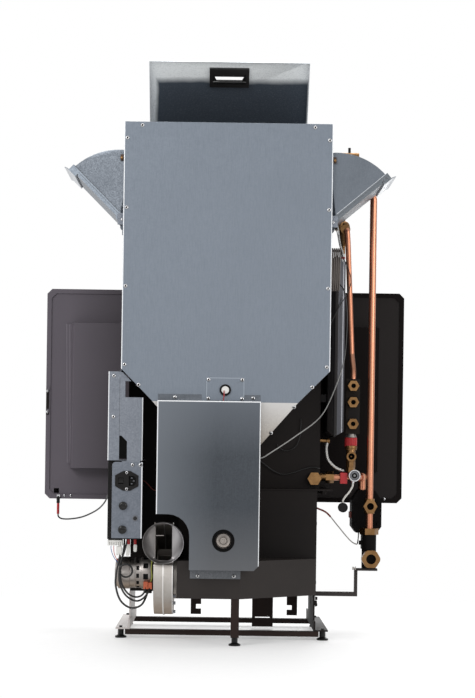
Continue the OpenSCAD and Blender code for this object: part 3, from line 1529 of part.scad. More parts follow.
hose_points = [[265, -8, 500], [263, -9, 480], [268, -11, 456], [282, -12, 440], [298, -12, 431],
    [308, -10, 428]];
gauge_tube_points = [[331, -26, 396], [331, -26, 392], [329, -26, 386], [322, -27, 374], [312, -29, 362],
    [306, -29, 352], [306, -29, 343]];
gauge_x = 306;
gauge_z = 334;
gauge_y0 = -36;
module flexible_hoses() {
    color("#b5b2ad") {
        swept_cord(hose_points, 7.6, 5);
        swept_cord(gauge_tube_points, 5, 4);
        rod([boiler_half, -8, 505], [272, -8, 505], 10);
    }
    // Pressure gauge at the end of its tube
    color("#2b2a2a") rod_y([gauge_x, gauge_y0, gauge_z], 25, 14);
}

panel_lead_points = [
    [-443, 181, 300], [-441, 181, 292], [-430, 180, 287], [-405, 165, 288], [-370, 130, 296],
    [-330, 70, 316], [-306, 0, 338], [-296, -44, 356], [-290, -60, 362], [-285, -62, 362]
];
long_lead_points = [
    [280, -58, 908], [282, -64, 906], [298, -70, 886], [306, -70, 840], [306, -72, 770], [298, -82, 700],
    [270, -110, 620], [235, -160, 560], [170, -210, 510], [110, -250, 470], [94, -262, 460], [86, -263, 458]
];
fan_lead_points = [
    [-251, -182, 232], [-251, -182, 226], [-256, -192, 200], [-261, -201, 172], [-262, -204, 140],
        [-250, -204, 104],
    [-225, -202, 86], [-200, -198, 92], [-188, -184, 112], [-186, -164, 123], [-186, -150, 124]
];
capillary_points = [
    [236, -60, 333], [242, -60, 331], [264, -62, 320], [290, -64, 290], [312, -62, 264], [328, -50, 248],
    [344, -12, 240], [350, 24, 246], [352, 30, 258], [352, 30, 268]
];
module cable_leads() {
    color("#262424") {
        swept_cord(panel_lead_points, 4, 4);
        swept_cord(fan_lead_points, 5, 3);
        swept_cord(long_lead_points, 3, 4);
        swept_cord(capillary_points, 3, 4);
    }
    // Red sleeve and connector of the panel lead
    color("#a81c26") rod([-443, 181, 300], [-443, 181, 329], 7);
    color("#262424") {
        rod([-443, 181, 329], [-443, 181, 348], 6);
        box([-446, 181, 341], [-440, boiler_y1 - 3, 348]);
    }
}

// Grey cable hank on a peg at the right side of the hopper
hank_loops = 5;
hank_rings = 24;
hank_cord = 4;
hank_step = 4.7;
hank_x0 = hopper_half + 4;
hank_y = -140;
hank_z = 930;
hank_run = 36;
hank_end_r = 16;
peg_dia = 6;
peg_z = hank_z + hank_run + hank_end_r - hank_cord / 2 - peg_dia / 2 - run_gap;
// A racetrack with a drawn-in waist that climbs outward
function hank_point(i) =
    let (t = 360 * i / hank_rings, c = cos(t), s = sin(t), waist = 1 - 0.25 * pow(abs(s), 3))
    [hank_x0 + hank_step * i / hank_rings, hank_y + hank_end_r * s * waist,
        hank_z + (hank_run + hank_end_r) * c];
hank_line = [for (i = [0:hank_loops * hank_rings]) hank_point(i)];
hank_gap = min([for (i = [0:len(hank_line) - 1]) for (j = [i + hank_rings / 2:len(hank_line) - 1])
    norm(hank_line[i] - hank_line[j]) - hank_cord]);
module cable_hank() {
    echo(hank_self_gap = hank_gap);
    sides = 6;
    n = len(hank_line);
    rings = [for (i = [0:n - 1])
        let (t = tangent(hank_line, i), u = unit(cross(t, [1, 0, 0])), w = cross(u, t))
        for (k = [0:sides - 1]) hank_line[i] + (u * cos(60 * k) + w * sin(60 * k)) * hank_cord / 2];
    color("#8d8883") swept_rings(rings, n, sides);
}

stand_left();
stand_right();
stand_rails();
levelling_feet();
hanging_brackets();
base_body();
shelf_flange();
ash_drawer();
boiler_shell();
firebox_liner();
burner_retort();
burn_pot();
exchanger_tubes();
tube_scraper();
front_surround();
surround_rear_box();
fire_door_frame();
fire_door_glass();
door_gasket();
door_handle();
hopper_shell();
hopper_rear_panel();
hopper_funnel();
hopper_screws();
hopper_top();
hopper_lid();
lid_grip();
chute_left();
chute_right();
chute_hinges();
sensor_plate();
level_sensor();
auger_cover();
cover_ring();
auger_tube();
auger_shaft();
auger_screw();
gearmotor();
control_bracket();
control_box();
inlet_plate();
power_inlet();
rocker_switch();
reset_caps();
reset_button();
fan_volute();
fan_motor();
fan_impeller();
flue_spigot();
expansion_vessel();
copper_pipes();
brass_fittings();
port_strip();
safety_valve();
valve_cap();
drain_tap();
circulation_pump();
flexible_hoses();
cable_leads();
cable_hank();
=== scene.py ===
# %% [markdown]
# # A pellet-fired hydro fireplace, dressed in Blender
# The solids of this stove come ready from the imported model. This notebook gives them their looks:
# sheet steel with its zinc flowers, copper, brass, cast iron, cables and hoses.
# Each code cell is short, and the text before it says what the real piece is and why it is made this way.

# %% Frame
import json
import math

import bmesh
import bpy
from mathutils import Matrix, Vector


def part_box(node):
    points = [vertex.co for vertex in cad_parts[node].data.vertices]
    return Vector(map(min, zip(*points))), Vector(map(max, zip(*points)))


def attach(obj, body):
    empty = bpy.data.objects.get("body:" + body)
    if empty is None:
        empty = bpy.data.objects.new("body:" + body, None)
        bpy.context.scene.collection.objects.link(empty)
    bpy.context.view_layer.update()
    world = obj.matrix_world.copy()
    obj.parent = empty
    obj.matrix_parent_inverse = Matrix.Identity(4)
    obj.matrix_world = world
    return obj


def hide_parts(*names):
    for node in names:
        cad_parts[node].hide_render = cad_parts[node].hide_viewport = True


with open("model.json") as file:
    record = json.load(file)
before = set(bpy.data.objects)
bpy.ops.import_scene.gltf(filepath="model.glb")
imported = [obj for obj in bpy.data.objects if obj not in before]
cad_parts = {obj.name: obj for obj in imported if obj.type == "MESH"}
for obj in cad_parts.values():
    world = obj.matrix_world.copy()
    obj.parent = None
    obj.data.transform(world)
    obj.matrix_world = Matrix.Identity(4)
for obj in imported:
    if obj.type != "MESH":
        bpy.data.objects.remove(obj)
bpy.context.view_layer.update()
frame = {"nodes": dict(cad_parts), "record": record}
nodes = frame["nodes"]

# %% [markdown]
# ## The camera
# The stove was photographed from behind, from about four metres, with a long lens at knee height.
# The lens axis meets the picture far below its middle. That is a lens shift, which keeps upright edges upright.
# The whole picture leans by less than one degree, so the camera is rolled by the same angle.

# %% Camera
camera_data = bpy.data.cameras.new("camera")
camera = bpy.data.objects.new("camera", camera_data)
bpy.context.scene.collection.objects.link(camera)
camera.location = (-0.018, -4.243, 0.464)
camera.rotation_euler = (math.radians(90), math.radians(-0.8), 0)
camera_data.sensor_width = 36
camera_data.lens = 84.9
camera_data.shift_x = 0.0294
camera_data.shift_y = 0.1519
camera_data.clip_end = 60
bpy.context.scene.camera = camera
print("camera at", tuple(round(v, 3) for v in camera.location))

# %% [markdown]
# ## Small makers of shapes
# Most pieces of a machine are turned, bent, folded or cut. One helper for each of these keeps the rest short:
# a lathe for turned pieces, a prism for cut plates, a rounded box, and a tube along a path.
# Every helper writes world positions into the mesh, so each finished object stays at the origin.

# %% Mesh helpers
BACK, RIGHT, UP = (0, -1, 0), (1, 0, 0), (0, 0, 1)


def placed(name, data):
    """A new object for a mesh or a lamp, linked to the scene."""
    obj = bpy.data.objects.new(name, data)
    bpy.context.scene.collection.objects.link(obj)
    return obj


def add_piece(name, verts, faces, mat, uvs=None):
    """A mesh object at the origin, with its material."""
    mesh = bpy.data.meshes.new(name)
    mesh.from_pydata([tuple(v) for v in verts], [], faces)
    mesh.materials.append(mat)
    if uvs is not None:
        layer = mesh.uv_layers.new(name="UVMap")
        for loop in mesh.loops:
            layer.data[loop.index].uv = uvs[loop.vertex_index]
    return placed(name, mesh)


def recalc(obj, merge=1e-6):
    """Merges doubles and turns the faces outward."""
    bm = bmesh.new()
    bm.from_mesh(obj.data)
    bmesh.ops.remove_doubles(bm, verts=bm.verts, dist=merge)
    bmesh.ops.recalc_face_normals(bm, faces=bm.faces)
    bm.to_mesh(obj.data)
    bm.free()
    return obj


def smooth(obj, angle=35):
    """Smooth shading that keeps edges sharper than angle."""
    obj.data.shade_smooth()
    obj.data.set_sharp_from_angle(angle=math.radians(angle))
    return obj


def bevelled(obj, width, segments=2, angle=35):
    """Rounds the edges a little, so that they catch the light."""
    mod = obj.modifiers.new("edge", "BEVEL")
    mod.width = width
    mod.segments = segments
    mod.limit_method = "ANGLE"
    mod.angle_limit = math.radians(angle)
    mod.harden_normals = True
    smooth(obj, angle)
    return obj


print("mesh helpers ready")

# %% [markdown]
# A turned piece is a stack of rings round an axis. The same skin over rings also makes a hexagon nut, where each
# point of a ring has its own radius.

# %% Turned shapes
def axes_for(direction):
    """Two unit vectors square to direction."""
    d = Vector(direction).normalized()
    side = d.cross(Vector((0, 0, 1)) if abs(d.z) < 0.9 else Vector((1, 0, 0))).normalized()
    return side, d.cross(side), d


def from_rings(name, rings, mat, merge=1e-6, uvs=None):
    """Skins rings of points, all with the same count, and closes both ends."""
    n = len(rings[0])
    last = (len(rings) - 1) * n
    faces = [(a + k, a + (k + 1) % n, a + n + (k + 1) % n, a + n + k) for a in range(0, last, n) for k in range(n)]
    faces += [tuple(range(n))[::-1], tuple(range(last, last + n))]
    return recalc(add_piece(name, [v for ring in rings for v in ring], faces, mat, uvs), merge)


def turns(steps):
    """Equal angles once round, in radians."""
    return [2 * math.pi * k / steps for k in range(steps)]


def lathe(name, profile, origin, direction, mat, steps=48):
    """Turns (radius, height) pairs in mm round direction, from origin in metres."""
    side, up, d = axes_for(direction)
    rings = [[Vector(origin) + d * h / 1000 + (side * math.cos(a) + up * math.sin(a)) * r / 1000 for a in turns(steps)]
             for r, h in profile]
    return smooth(from_rings(name, rings, mat), 40)


def hex_nut(name, flats, length, origin, direction, mat):
    """A hexagon with the turned chamfer that real nuts have; sizes in mm."""
    side, up, d = axes_for(direction)
    inner, sixth = flats / 2, math.pi / 3
    rings = [[], [], [], []]
    for a in turns(72):
        r = inner / math.cos((a + sixth / 2) % sixth - sixth / 2)
        drop = max(0.0, (r - inner * 1.02) * 0.55)
        worn = min(r, inner * 0.97)
        for ring, h, radius in zip(rings, (0, drop, length - drop, length), (worn, r, r, worn)):
            ring.append(Vector(origin) + d * h / 1000 + (side * math.cos(a) + up * math.sin(a)) * radius / 1000)
    return smooth(from_rings(name, rings, mat), 25)


print("lathe ready")

# %% [markdown]
# Cut plates and boxes are a flat outline with a depth. Their edges are softened, since no real edge is a knife.

# %% Cut shapes
def plate(name, outline, along, start, depth, mat, bevel=0.4):
    """Cuts a flat outline (mm pairs) and gives it depth along y or z, with softened edges."""
    n = len(outline)
    order = (0, 2, 1) if along == "y" else (0, 1, 2)
    verts = [(a / 1000, b / 1000, c / 1000) for c in (start, start + depth) for a, b in outline]
    faces = [tuple(range(n)), tuple(range(2 * n - 1, n - 1, -1))]
    faces += [(k, (k + 1) % n, (k + 1) % n + n, k + n) for k in range(n)]
    return bevelled(recalc(add_piece(name, [[v[k] for k in order] for v in verts], faces, mat)), bevel / 1000)


def rounded_box(name, low, high, mat, bevel):
    """A box between two corners in mm."""
    (x0, y0, z0), (x1, y1, z1) = low, high
    return plate(name, [(x0, y0), (x1, y0), (x1, y1), (x0, y1)], "z", z0, z1 - z0, mat, bevel)


print("plates ready")

# %% [markdown]
# Cables, hoses and ropes are tubes along a smooth path. The rings of a tube turn as little as possible from one to
# the next, so the tube never twists.

# %% Tubes along a path
def smooth_path(points, steps):
    """The Catmull-Rom curve through points in mm, as in the source of the solids, in metres."""
    p = [Vector(q) / 1000 for q in points]
    out = []
    for i in range(len(p) - 1):
        a, b, c, d = p[max(i - 1, 0)], p[i], p[i + 1], p[min(i + 2, len(p) - 1)]
        for k in range(steps):
            t = k / steps
            out.append(0.5 * (2 * b + (c - a) * t + (2 * a - 5 * b + 4 * c - d) * t * t
                              + (3 * b - a - 3 * c + d) * t ** 3))
    return out + [p[-1]]


def path_length(path):
    return sum((path[i + 1] - path[i]).length for i in range(len(path) - 1))


def tube(name, path, diameter, mat, sides=14):
    """A round tube in metres along a path, with its own UV map: U round, V along in metres."""
    rings, uvs, side, run, last = [], [], None, 0.0, len(path) - 1
    for i, here in enumerate(path):
        t = (path[min(i + 1, last)] - path[max(i - 1, 0)]).normalized()
        side = axes_for(t)[0] if side is None else (side - t * side.dot(t)).normalized()
        up = t.cross(side)
        run += (here - path[i - 1]).length if i else 0
        rings.append([here + (side * math.cos(a) + up * math.sin(a)) * (diameter / 2) for a in turns(sides)])
        uvs += [(k / sides, run) for k in range(sides)]
    return smooth(from_rings(name, rings, mat, 0, uvs), 50)


print("tubes ready")

# %% [markdown]
# Two last helpers work on finished pieces: one gives some faces another finish, the other joins small pieces.

# %% Marking and joining
def mark(obj, mat, rule):
    """Gives another finish to the faces where rule(centre in mm) holds."""
    if mat.name not in obj.data.materials:
        obj.data.materials.append(mat)
    for face in obj.data.polygons:
        if rule(face.center * 1000):
            face.material_index = obj.data.materials.find(mat.name)


def joined(name, parts):
    """Joins pieces into one object, each with its own modifiers applied first."""
    graph = bpy.context.evaluated_depsgraph_get()
    bm = bmesh.new()
    mats = []
    for part in parts:
        start = len(bm.faces)
        bm.from_mesh(part.evaluated_get(graph).to_mesh())
        bm.faces.ensure_lookup_table()
        mats += [m for m in part.data.materials if m not in mats]
        for f in bm.faces[start:]:
            f.material_index = mats.index(part.data.materials[f.material_index])
        part.evaluated_get(graph).to_mesh_clear()
    mesh = bpy.data.meshes.new(name)
    bm.to_mesh(mesh)
    bm.free()
    for m in mats:
        mesh.materials.append(m)
    for part in parts:
        bpy.data.objects.remove(part)
    return placed(name, mesh)


print("all helpers of shape ready")

# %% [markdown]
# ## Finishes
# A finish is a small tree of nodes. `add_node` adds one node and feeds its inputs, each with a value or from the
# socket of another node, so a tree reads like a sum. `start_finish` begins a finish with its colour, its metal part
# and its roughness. Patterns read Object coordinates, in metres, so a grain of one millimetre is a noise of about
# one thousand.

# %% Node helpers
def feed(tree, socket, value):
    """Sets an input to a value, or links it to the socket, or the list of sockets, that feeds it."""
    for one in value if isinstance(value, list) else [value]:
        if isinstance(one, bpy.types.NodeSocket):
            tree.links.new(one, socket)
        else:
            socket.default_value = one


def add_node(tree, kind, given=None, out=0, **settings):
    """Adds a node, makes its settings, feeds its inputs and returns one of its outputs."""
    node = tree.nodes.new(kind)
    for key, value in settings.items():
        setattr(node, key, value)
    for key, value in (given or {}).items():
        feed(tree, node.inputs[key], value)
    return node.outputs[out]


def maths(tree, operation, *values):
    return add_node(tree, "ShaderNodeMath", dict(enumerate(values)), operation=operation)


def ranged(tree, value, low, high, out_low=0.0, out_high=1.0):
    return add_node(tree, "ShaderNodeMapRange", {
        "Value": value, "From Min": low, "From Max": high, "To Min": out_low, "To Max": out_high}, "Result")


def mixed(tree, factor, a, b):
    """Mixes two colours; each may be a value or a socket."""
    a, b = ((*c, 1) if isinstance(c, tuple) else c for c in (a, b))
    return add_node(tree, "ShaderNodeMix", {"Factor": factor, 6: a, 7: b}, 2, data_type="RGBA")


def across(tree, place, axis, start, end):
    """0 where the axis is at start and 1 where it is at end, in metres."""
    return ranged(tree, add_node(tree, "ShaderNodeSeparateXYZ", {0: place}, axis), start, end)


print("node helpers ready")

# %% [markdown]
# The next helpers are the words that all finishes share: noise, noise stretched along a direction, the grey cells
# of zinc crystals, bump, and a tone that drifts across the piece or brightens along its folds.

# %% Material helpers
def start_finish(name, colour, metal=0.0, rough=0.5):
    mat = bpy.data.materials.new(name)
    mat.use_nodes = True
    tree = mat.node_tree
    shader = tree.nodes["Principled BSDF"]
    for key, value in (("Base Color", (*colour, 1)), ("Metallic", metal), ("Roughness", rough)):
        shader.inputs[key].default_value = value
    return mat, tree, shader, add_node(tree, "ShaderNodeTexCoord", out="Object")


def stretched(tree, place, scale):
    return add_node(tree, "ShaderNodeMapping", {"Vector": place, "Scale": scale}, "Vector")


def noise(tree, place, scale, detail=3, rough=0.5):
    return add_node(tree, "ShaderNodeTexNoise", {
        "Vector": place, "Scale": scale, "Detail": detail, "Roughness": rough}, "Fac")


def flowers(tree, place, scale):
    """Random grey of each cell, as the crystals of zinc have."""
    cell = add_node(tree, "ShaderNodeTexVoronoi", {"Vector": place, "Scale": scale}, "Color")
    return add_node(tree, "ShaderNodeSeparateColor", {0: cell})


def bumped(tree, shader, height, strength, distance):
    given = {"Height": height, "Strength": strength, "Distance": distance}
    for link in shader.inputs["Normal"].links:
        given["Normal"] = link.from_socket
    feed(tree, shader.inputs["Normal"], add_node(tree, "ShaderNodeBump", given, "Normal"))


def highlight_mask(tree, place, lines):
    """1 near the planes in lines, each (axis, place in m, half width in m), where a painted highlight goes."""
    mask = None
    for axis, at, half in lines:
        run = add_node(tree, "ShaderNodeSeparateXYZ", {0: place}, axis)
        away = maths(tree, "ABSOLUTE", maths(tree, "SUBTRACT", run, at))
        one = ranged(tree, away, half * 0.5, half, 1, 0)
        mask = one if mask is None else maths(tree, "MAXIMUM", mask, one)
    return mask


def shaded(tree, place, tone, lean, lines=(), highlight_tone=None):
    """Lets a tone drift to others, each (axis, start, end, tone), mostly as painted light, and paints a highlight along
    the lines of the folds.
    """
    for axis, start, end, other in lean:
        tone = mixed(tree, across(tree, place, axis, start, end), tone, other)
    return mixed(tree, highlight_mask(tree, place, lines), tone, highlight_tone) if lines else tone


print("finish helpers ready")

# %% [markdown]
# ## Galvanised sheet
# Hot-dip zinc freezes in small crystals, the flowers. Each reflects a little differently, so a Voronoi texture gives
# each cell one grey, and fine streaks along the rolling direction lie over them. Where the sheet is folded, the
# outside of the bend catches the light, so a finish may name the lines where a highlight is painted.

# %% Galvanised sheet
def galvanised(name, dark, light, cell=300, rough=0.42, cloud=0.2, lines=(), highlight_tone=None, lean=()):
    mat, tree, shader, place = start_finish(name, light, 0.85, rough)
    wobble = add_node(tree, "ShaderNodeTexNoise", {"Vector": place, "Scale": 60}, "Color")
    warped = add_node(tree, "ShaderNodeMix", {"Factor": 0.012, 4: place, 5: wobble}, 1, data_type="VECTOR")
    cells = flowers(tree, warped, cell)
    streak = noise(tree, stretched(tree, place, (30, 30, 900)), 1, 2)
    upright = noise(tree, stretched(tree, place, (700, 30, 40)), 1, 2)
    dull = tuple(c * 0.85 for c in dark)
    colour = mixed(tree, cells, dark, light)
    colour = mixed(tree, ranged(tree, noise(tree, place, 5, 3), 0.42, 0.7, 0, cloud), colour, dull)
    colour = mixed(tree, ranged(tree, streak, 0.5, 0.8, 0, 0.3), colour, light)
    colour = mixed(tree, ranged(tree, upright, 0.45, 0.7, 0, 0.4), colour, dull)
    feed(tree, shader.inputs["Base Color"], shaded(tree, place, colour, lean, lines, highlight_tone))
    feed(tree, shader.inputs["Roughness"], ranged(tree, cells, 0, 1, rough - 0.05, rough + 0.06))
    bumped(tree, shader, cells, 0.03, 0.0003)
    bumped(tree, shader, streak, 0.03, 0.0003)
    return mat


# The pale tone below is a painted highlight that the panel, the cover, the plate and the bracket take along their
# folds.
fold_highlight = (0.72, 0.73, 0.75)
sheet = (0.160, 0.184, 0.217), (0.176, 0.200, 0.234)
bracket_fold_highlights = ("X", -0.2845, 0.0022), ("X", -0.2005, 0.0016)
zinc = galvanised("galvanised_sheet", *sheet)
panel_zinc = galvanised("galvanised_panel", *sheet, lines=(("X", -0.2535, 0.0022), ("X", 0.2535, 0.0018)),
                        highlight_tone=fold_highlight)
# The cover's tone lightens towards its top, its bottom and its left as painted light, and its edges take painted
# highlights.
cover_zinc = galvanised("galvanised_cover", (0.049, 0.055, 0.064), (0.060, 0.068, 0.078), rough=0.38, cloud=0.3,
                        lines=(("X", -0.1625, 0.0026), ("X", 0.0855, 0.0018), ("Z", 0.5935, 0.0026)),
                        highlight_tone=fold_highlight, lean=(("Z", 0.46, 0.64, (0.115, 0.128, 0.148)),
                                                ("Z", 0.34, 0.14, (0.116, 0.119, 0.126)),
                                                ("X", -0.02, -0.21, (0.140, 0.154, 0.174))))
# The next finish is a darker copy of the zinc, a painted shade for side walls, folds and creases.
shaded_zinc = galvanised("galvanised_side", (0.085, 0.090, 0.098), (0.125, 0.130, 0.140))
# The next finish is a bright copy of the zinc, a painted highlight for folded and cut edges.
zinc_highlight = galvanised("zinc_edge", (0.42, 0.44, 0.47), (0.60, 0.62, 0.65), rough=0.32)
# The funnel's beige tone, paling towards its top, is a painted reflection of the warm floor in the sheet.
funnel_zinc = galvanised("funnel_sheet", (0.34, 0.30, 0.26), (0.46, 0.42, 0.37), rough=0.34,
                         lean=(("Z", 0.50, 0.60, (0.62, 0.61, 0.60)),))
plate_zinc = galvanised("galvanised_plate", (0.125, 0.140, 0.165), (0.165, 0.180, 0.210), lines=bracket_fold_highlights,
                        highlight_tone=fold_highlight)
bracket_zinc = galvanised("bracket_zinc", (0.155, 0.170, 0.198), (0.205, 0.222, 0.252), lines=bracket_fold_highlights,
                          highlight_tone=fold_highlight)
tab_zinc = galvanised("tab_zinc", (0.098, 0.108, 0.124), (0.122, 0.134, 0.152))
print("zinc finishes:", zinc.name, cover_zinc.name, zinc_highlight.name, funnel_zinc.name)

# %% [markdown]
# ## Painted steel
# Heat-proof paint is matt with a faint orange-peel skin. Dust settles on it, which lifts the colour in patches.
# The front surround has a smoother powder coat, and its broad soft sheen is partly its gloss and partly painted light.

# %% Painted steel
def painted(name, colour, dust, rough=0.55, peel=0.12, patches=6, gloss=0.2, lean=()):
    mat, tree, shader, place = start_finish(name, colour, 0.0, rough)
    shader.inputs["Specular IOR Level"].default_value = gloss
    patch = noise(tree, place, patches, 4, 0.6)
    tone = mixed(tree, ranged(tree, patch, 0.4, 0.72, 0, 0.5), colour, dust)
    tone = mixed(tree, ranged(tree, noise(tree, place, 700, 2), 0.6, 0.75, 0, 0.25), tone, dust)
    feed(tree, shader.inputs["Base Color"], shaded(tree, place, tone, lean))
    feed(tree, shader.inputs["Roughness"], ranged(tree, patch, 0.3, 0.7, rough - 0.05, rough + 0.1))
    bumped(tree, shader, noise(tree, place, 900, 2), peel, 0.0003)
    return mat


black_paint = painted("black_paint", (0.0072, 0.0056, 0.0052), (0.016, 0.0125, 0.0115), gloss=0.12)
low_box_paint = painted("low_box_paint", (0.0165, 0.0132, 0.0120), (0.030, 0.0245, 0.0225), 0.5)
# The surround's purple-grey is a lit copy of its dark paint, painted light that drifts to dark towards the right.
surround_paint = painted("surround_paint", (0.106, 0.094, 0.110), (0.128, 0.113, 0.130), 0.42, 0.05, 3, 0.12,
                         (("X", -0.42, -0.10, (0.0120, 0.0094, 0.0090)),))
surround_right = painted("surround_right", (0.0062, 0.0046, 0.0043), (0.0100, 0.0080, 0.0075), 0.55, 0.05, 3, 0.05)
stand_paint = painted("stand_paint", (0.47, 0.435, 0.42), (0.56, 0.525, 0.505), 0.42, gloss=0.4)
surround_edge = painted("surround_edge", (0.15, 0.135, 0.16), (0.20, 0.18, 0.205), 0.35, 0.05, 3, 0.4)
# The next paint is for the pale web under the chutes' lips, a sheet that stands for the light seen there: painted
# light.
seam_grey = painted("seam_grey", (0.30, 0.32, 0.35), (0.38, 0.40, 0.43), 0.5)
arm_paint = painted("arm_paint", (0.022, 0.018, 0.017), (0.042, 0.035, 0.033), 0.45)
pump_black = painted("pump_black", (0.0046, 0.0040, 0.0040), (0.0085, 0.0075, 0.0072), 0.6, 0.2, gloss=0.04)
bracket_brown = painted("bracket_brown", (0.014, 0.0075, 0.0060), (0.026, 0.0145, 0.0120), 0.5, gloss=0.15)
vessel_paint = painted("vessel_paint", (0.010, 0.0085, 0.0085), (0.018, 0.015, 0.0145), 0.45, gloss=0.2)
print("paints:", black_paint.name, surround_paint.name)

# %% [markdown]
# ## Bare metals
# Copper tube darkens unevenly where flux and fingers touched it, and it stays bright between; its stains run in long
# upright streaks, partly real stains and partly painted reflection. Brass fittings are turned, so they carry fine
# rings. Castings keep the skin of their mould, a coarse bump under a dull grey.

# %% Bare metals
def bare(name, colour, stain, rough=0.3, grain=260, stain_scale=18, stain_amount=0.6, skin=0.1, metal=1.0, lean=(),
         lines=(), highlight_tone=None, upright=1.0):
    mat, tree, shader, place = start_finish(name, colour, metal, rough)
    drawn = stretched(tree, place, (1, 1, upright))
    spots = noise(tree, drawn, stain_scale, 5, 0.6)
    fine = noise(tree, drawn, grain, 3)
    tone = mixed(tree, ranged(tree, spots, 0.42, 0.68, 0, stain_amount), colour, stain)
    tone = mixed(tree, ranged(tree, fine, 0.5, 0.8, 0, 0.3), tone, stain)
    feed(tree, shader.inputs["Base Color"], shaded(tree, place, tone, lean, lines, highlight_tone))
    feed(tree, shader.inputs["Roughness"], ranged(tree, spots, 0.35, 0.7, rough - 0.06, rough + 0.16))
    bumped(tree, shader, fine, skin, 0.0004)
    return mat


# The copper's long upright streaks are partly real stains and partly painted reflection streaks.
copper = bare("copper_tube", (0.52, 0.228, 0.138), (0.27, 0.100, 0.056), 0.27, 260, 60, 0.5, 0.03, upright=0.04)
brass = bare("brass", (0.215, 0.119, 0.050), (0.11, 0.058, 0.024), 0.3, 300, 40)
tinned = bare("tinned_copper", (0.34, 0.165, 0.105), (0.16, 0.075, 0.045), 0.34, 200, 40, upright=0.1)
# The next finish is painted shade for the walls and floors of bores.
bore_dark = painted("bore_dark", (0.010, 0.007, 0.005), (0.02, 0.013, 0.009), 0.6, gloss=0.1)
motor_metal = bare("motor_metal", (0.36, 0.335, 0.32), (0.20, 0.17, 0.155), 0.36, 420, 24, 0.4, 0.2,
                   lean=(("Z", 0.160, 0.136, (0.29, 0.225, 0.17)),))
steel = bare("plain_steel", (0.33, 0.31, 0.29), (0.16, 0.13, 0.11), 0.42, 260, 14)
bright_steel = bare("bright_steel", (0.52, 0.52, 0.53), (0.34, 0.33, 0.32), 0.26, 400, 30, 0.4, 0.05)
shaft_steel = bare("shaft_steel", (0.33, 0.28, 0.25), (0.17, 0.11, 0.08), 0.4, 300, 60)
cast_aluminium = bare("cast_aluminium", (0.30, 0.275, 0.26), (0.19, 0.165, 0.15), 0.5, 420, 24, 0.5, 0.35)
# The volute takes painted highlight lines along two seams, and its tone turns browner towards the bottom.
volute_metal = bare("volute_metal", (0.46, 0.435, 0.41), (0.30, 0.265, 0.23), 0.4, 420, 10, 0.5, 0.3,
                    lean=(("Z", 0.12, 0.07, (0.36, 0.285, 0.225)),),
                    lines=(("X", -0.1455, 0.0022), ("X", -0.1225, 0.0018)), highlight_tone=(0.72, 0.70, 0.68))
cast_iron = bare("cast_iron", (0.045, 0.042, 0.042), (0.022, 0.020, 0.020), 0.6, 520, 30, 0.6, 0.5, 0.5)
# The spigot's steel turns lighter at its right, where its inner wall is lit: painted light.
flue_steel = bare("flue_steel", (0.20, 0.19, 0.185), (0.13, 0.12, 0.115), 0.4, 300, 12,
                  lean=(("X", -0.15, -0.11, (0.42, 0.41, 0.42)),))
# The vessel's right shell and rim get a lighter blue-grey finish than its dark paint, with two painted highlight lines:
# painted light.
vessel_rim = bare("vessel_rim", (0.062, 0.063, 0.071), (0.034, 0.034, 0.038), 0.38, 300, 40, 0.7, 0.04, 0.8,
                  lines=(("X", 0.2985, 0.0012), ("X", 0.3095, 0.0009)), highlight_tone=(0.26, 0.26, 0.28), upright=0.03)
dull_steel = bare("dull_steel", (0.16, 0.165, 0.18), (0.09, 0.09, 0.095), 0.4, 300, 20)
disc_steel = bare("disc_steel", (0.165, 0.142, 0.130), (0.085, 0.068, 0.060), 0.4, 300, 60)
browned = bare("browned_disc", (0.085, 0.060, 0.048), (0.045, 0.032, 0.026), 0.5, 300, 60)
print("metals:", copper.name, brass.name, cast_aluminium.name)

# %% [markdown]
# ## Plastics, rubber, glass and woven sleeves
# Moulded plastic has an even colour with a fine grain. The woven sleeve of a hose and the sheath of a cable follow
# the piece, so their patterns read the UV map of the tube: U goes round it, and V runs along it in metres.

# %% Plastics
def moulded(name, colour, rough=0.42, shade=0.7, gloss=0.35):
    mat, tree, shader, place = start_finish(name, colour, 0.0, rough)
    shader.inputs["Specular IOR Level"].default_value = gloss
    soft = noise(tree, place, 30, 3)
    tone = mixed(tree, ranged(tree, soft, 0.35, 0.7), colour, tuple(c * shade for c in colour))
    feed(tree, shader.inputs["Base Color"], tone)
    feed(tree, shader.inputs["Roughness"], ranged(tree, soft, 0.3, 0.7, rough - 0.04, rough + 0.08))
    bumped(tree, shader, noise(tree, place, 1400, 2), 0.06, 0.0002)
    return mat


black_plastic = moulded("black_plastic", (0.0065, 0.006, 0.006), gloss=0.16)
gloss_black = moulded("gloss_black", (0.0045, 0.0045, 0.0045), 0.2, gloss=0.35)
# The next black serves black parts and the painted shade in screw sockets.
socket_dark = moulded("socket_dark", (0.006, 0.006, 0.006), 0.7, gloss=0.02)
black_rubber = moulded("black_rubber", (0.012, 0.0115, 0.0115), 0.6, gloss=0.15)
white_plastic = moulded("white_plastic", (0.74, 0.73, 0.70), 0.4, shade=0.85)
red_plastic = moulded("red_plastic", (0.42, 0.018, 0.022), 0.35)
orange_plastic = moulded("orange_plastic", (0.55, 0.12, 0.05), 0.4)
foot_black = moulded("foot_black", (0.004, 0.004, 0.004), 0.3, gloss=0.2)
grey_plastic = moulded("grey_plastic", (0.20, 0.205, 0.21), 0.45)
wire_red = moulded("wire_red", (0.45, 0.03, 0.03), 0.4)
wire_blue = moulded("wire_blue", (0.03, 0.10, 0.32), 0.4)
wire_black = moulded("wire_black", (0.012, 0.012, 0.012), 0.42)
wire_grey = moulded("wire_grey", (0.27, 0.26, 0.245), 0.5)
hank_sheath = moulded("hank_sheath", (0.120, 0.100, 0.088), 0.5)
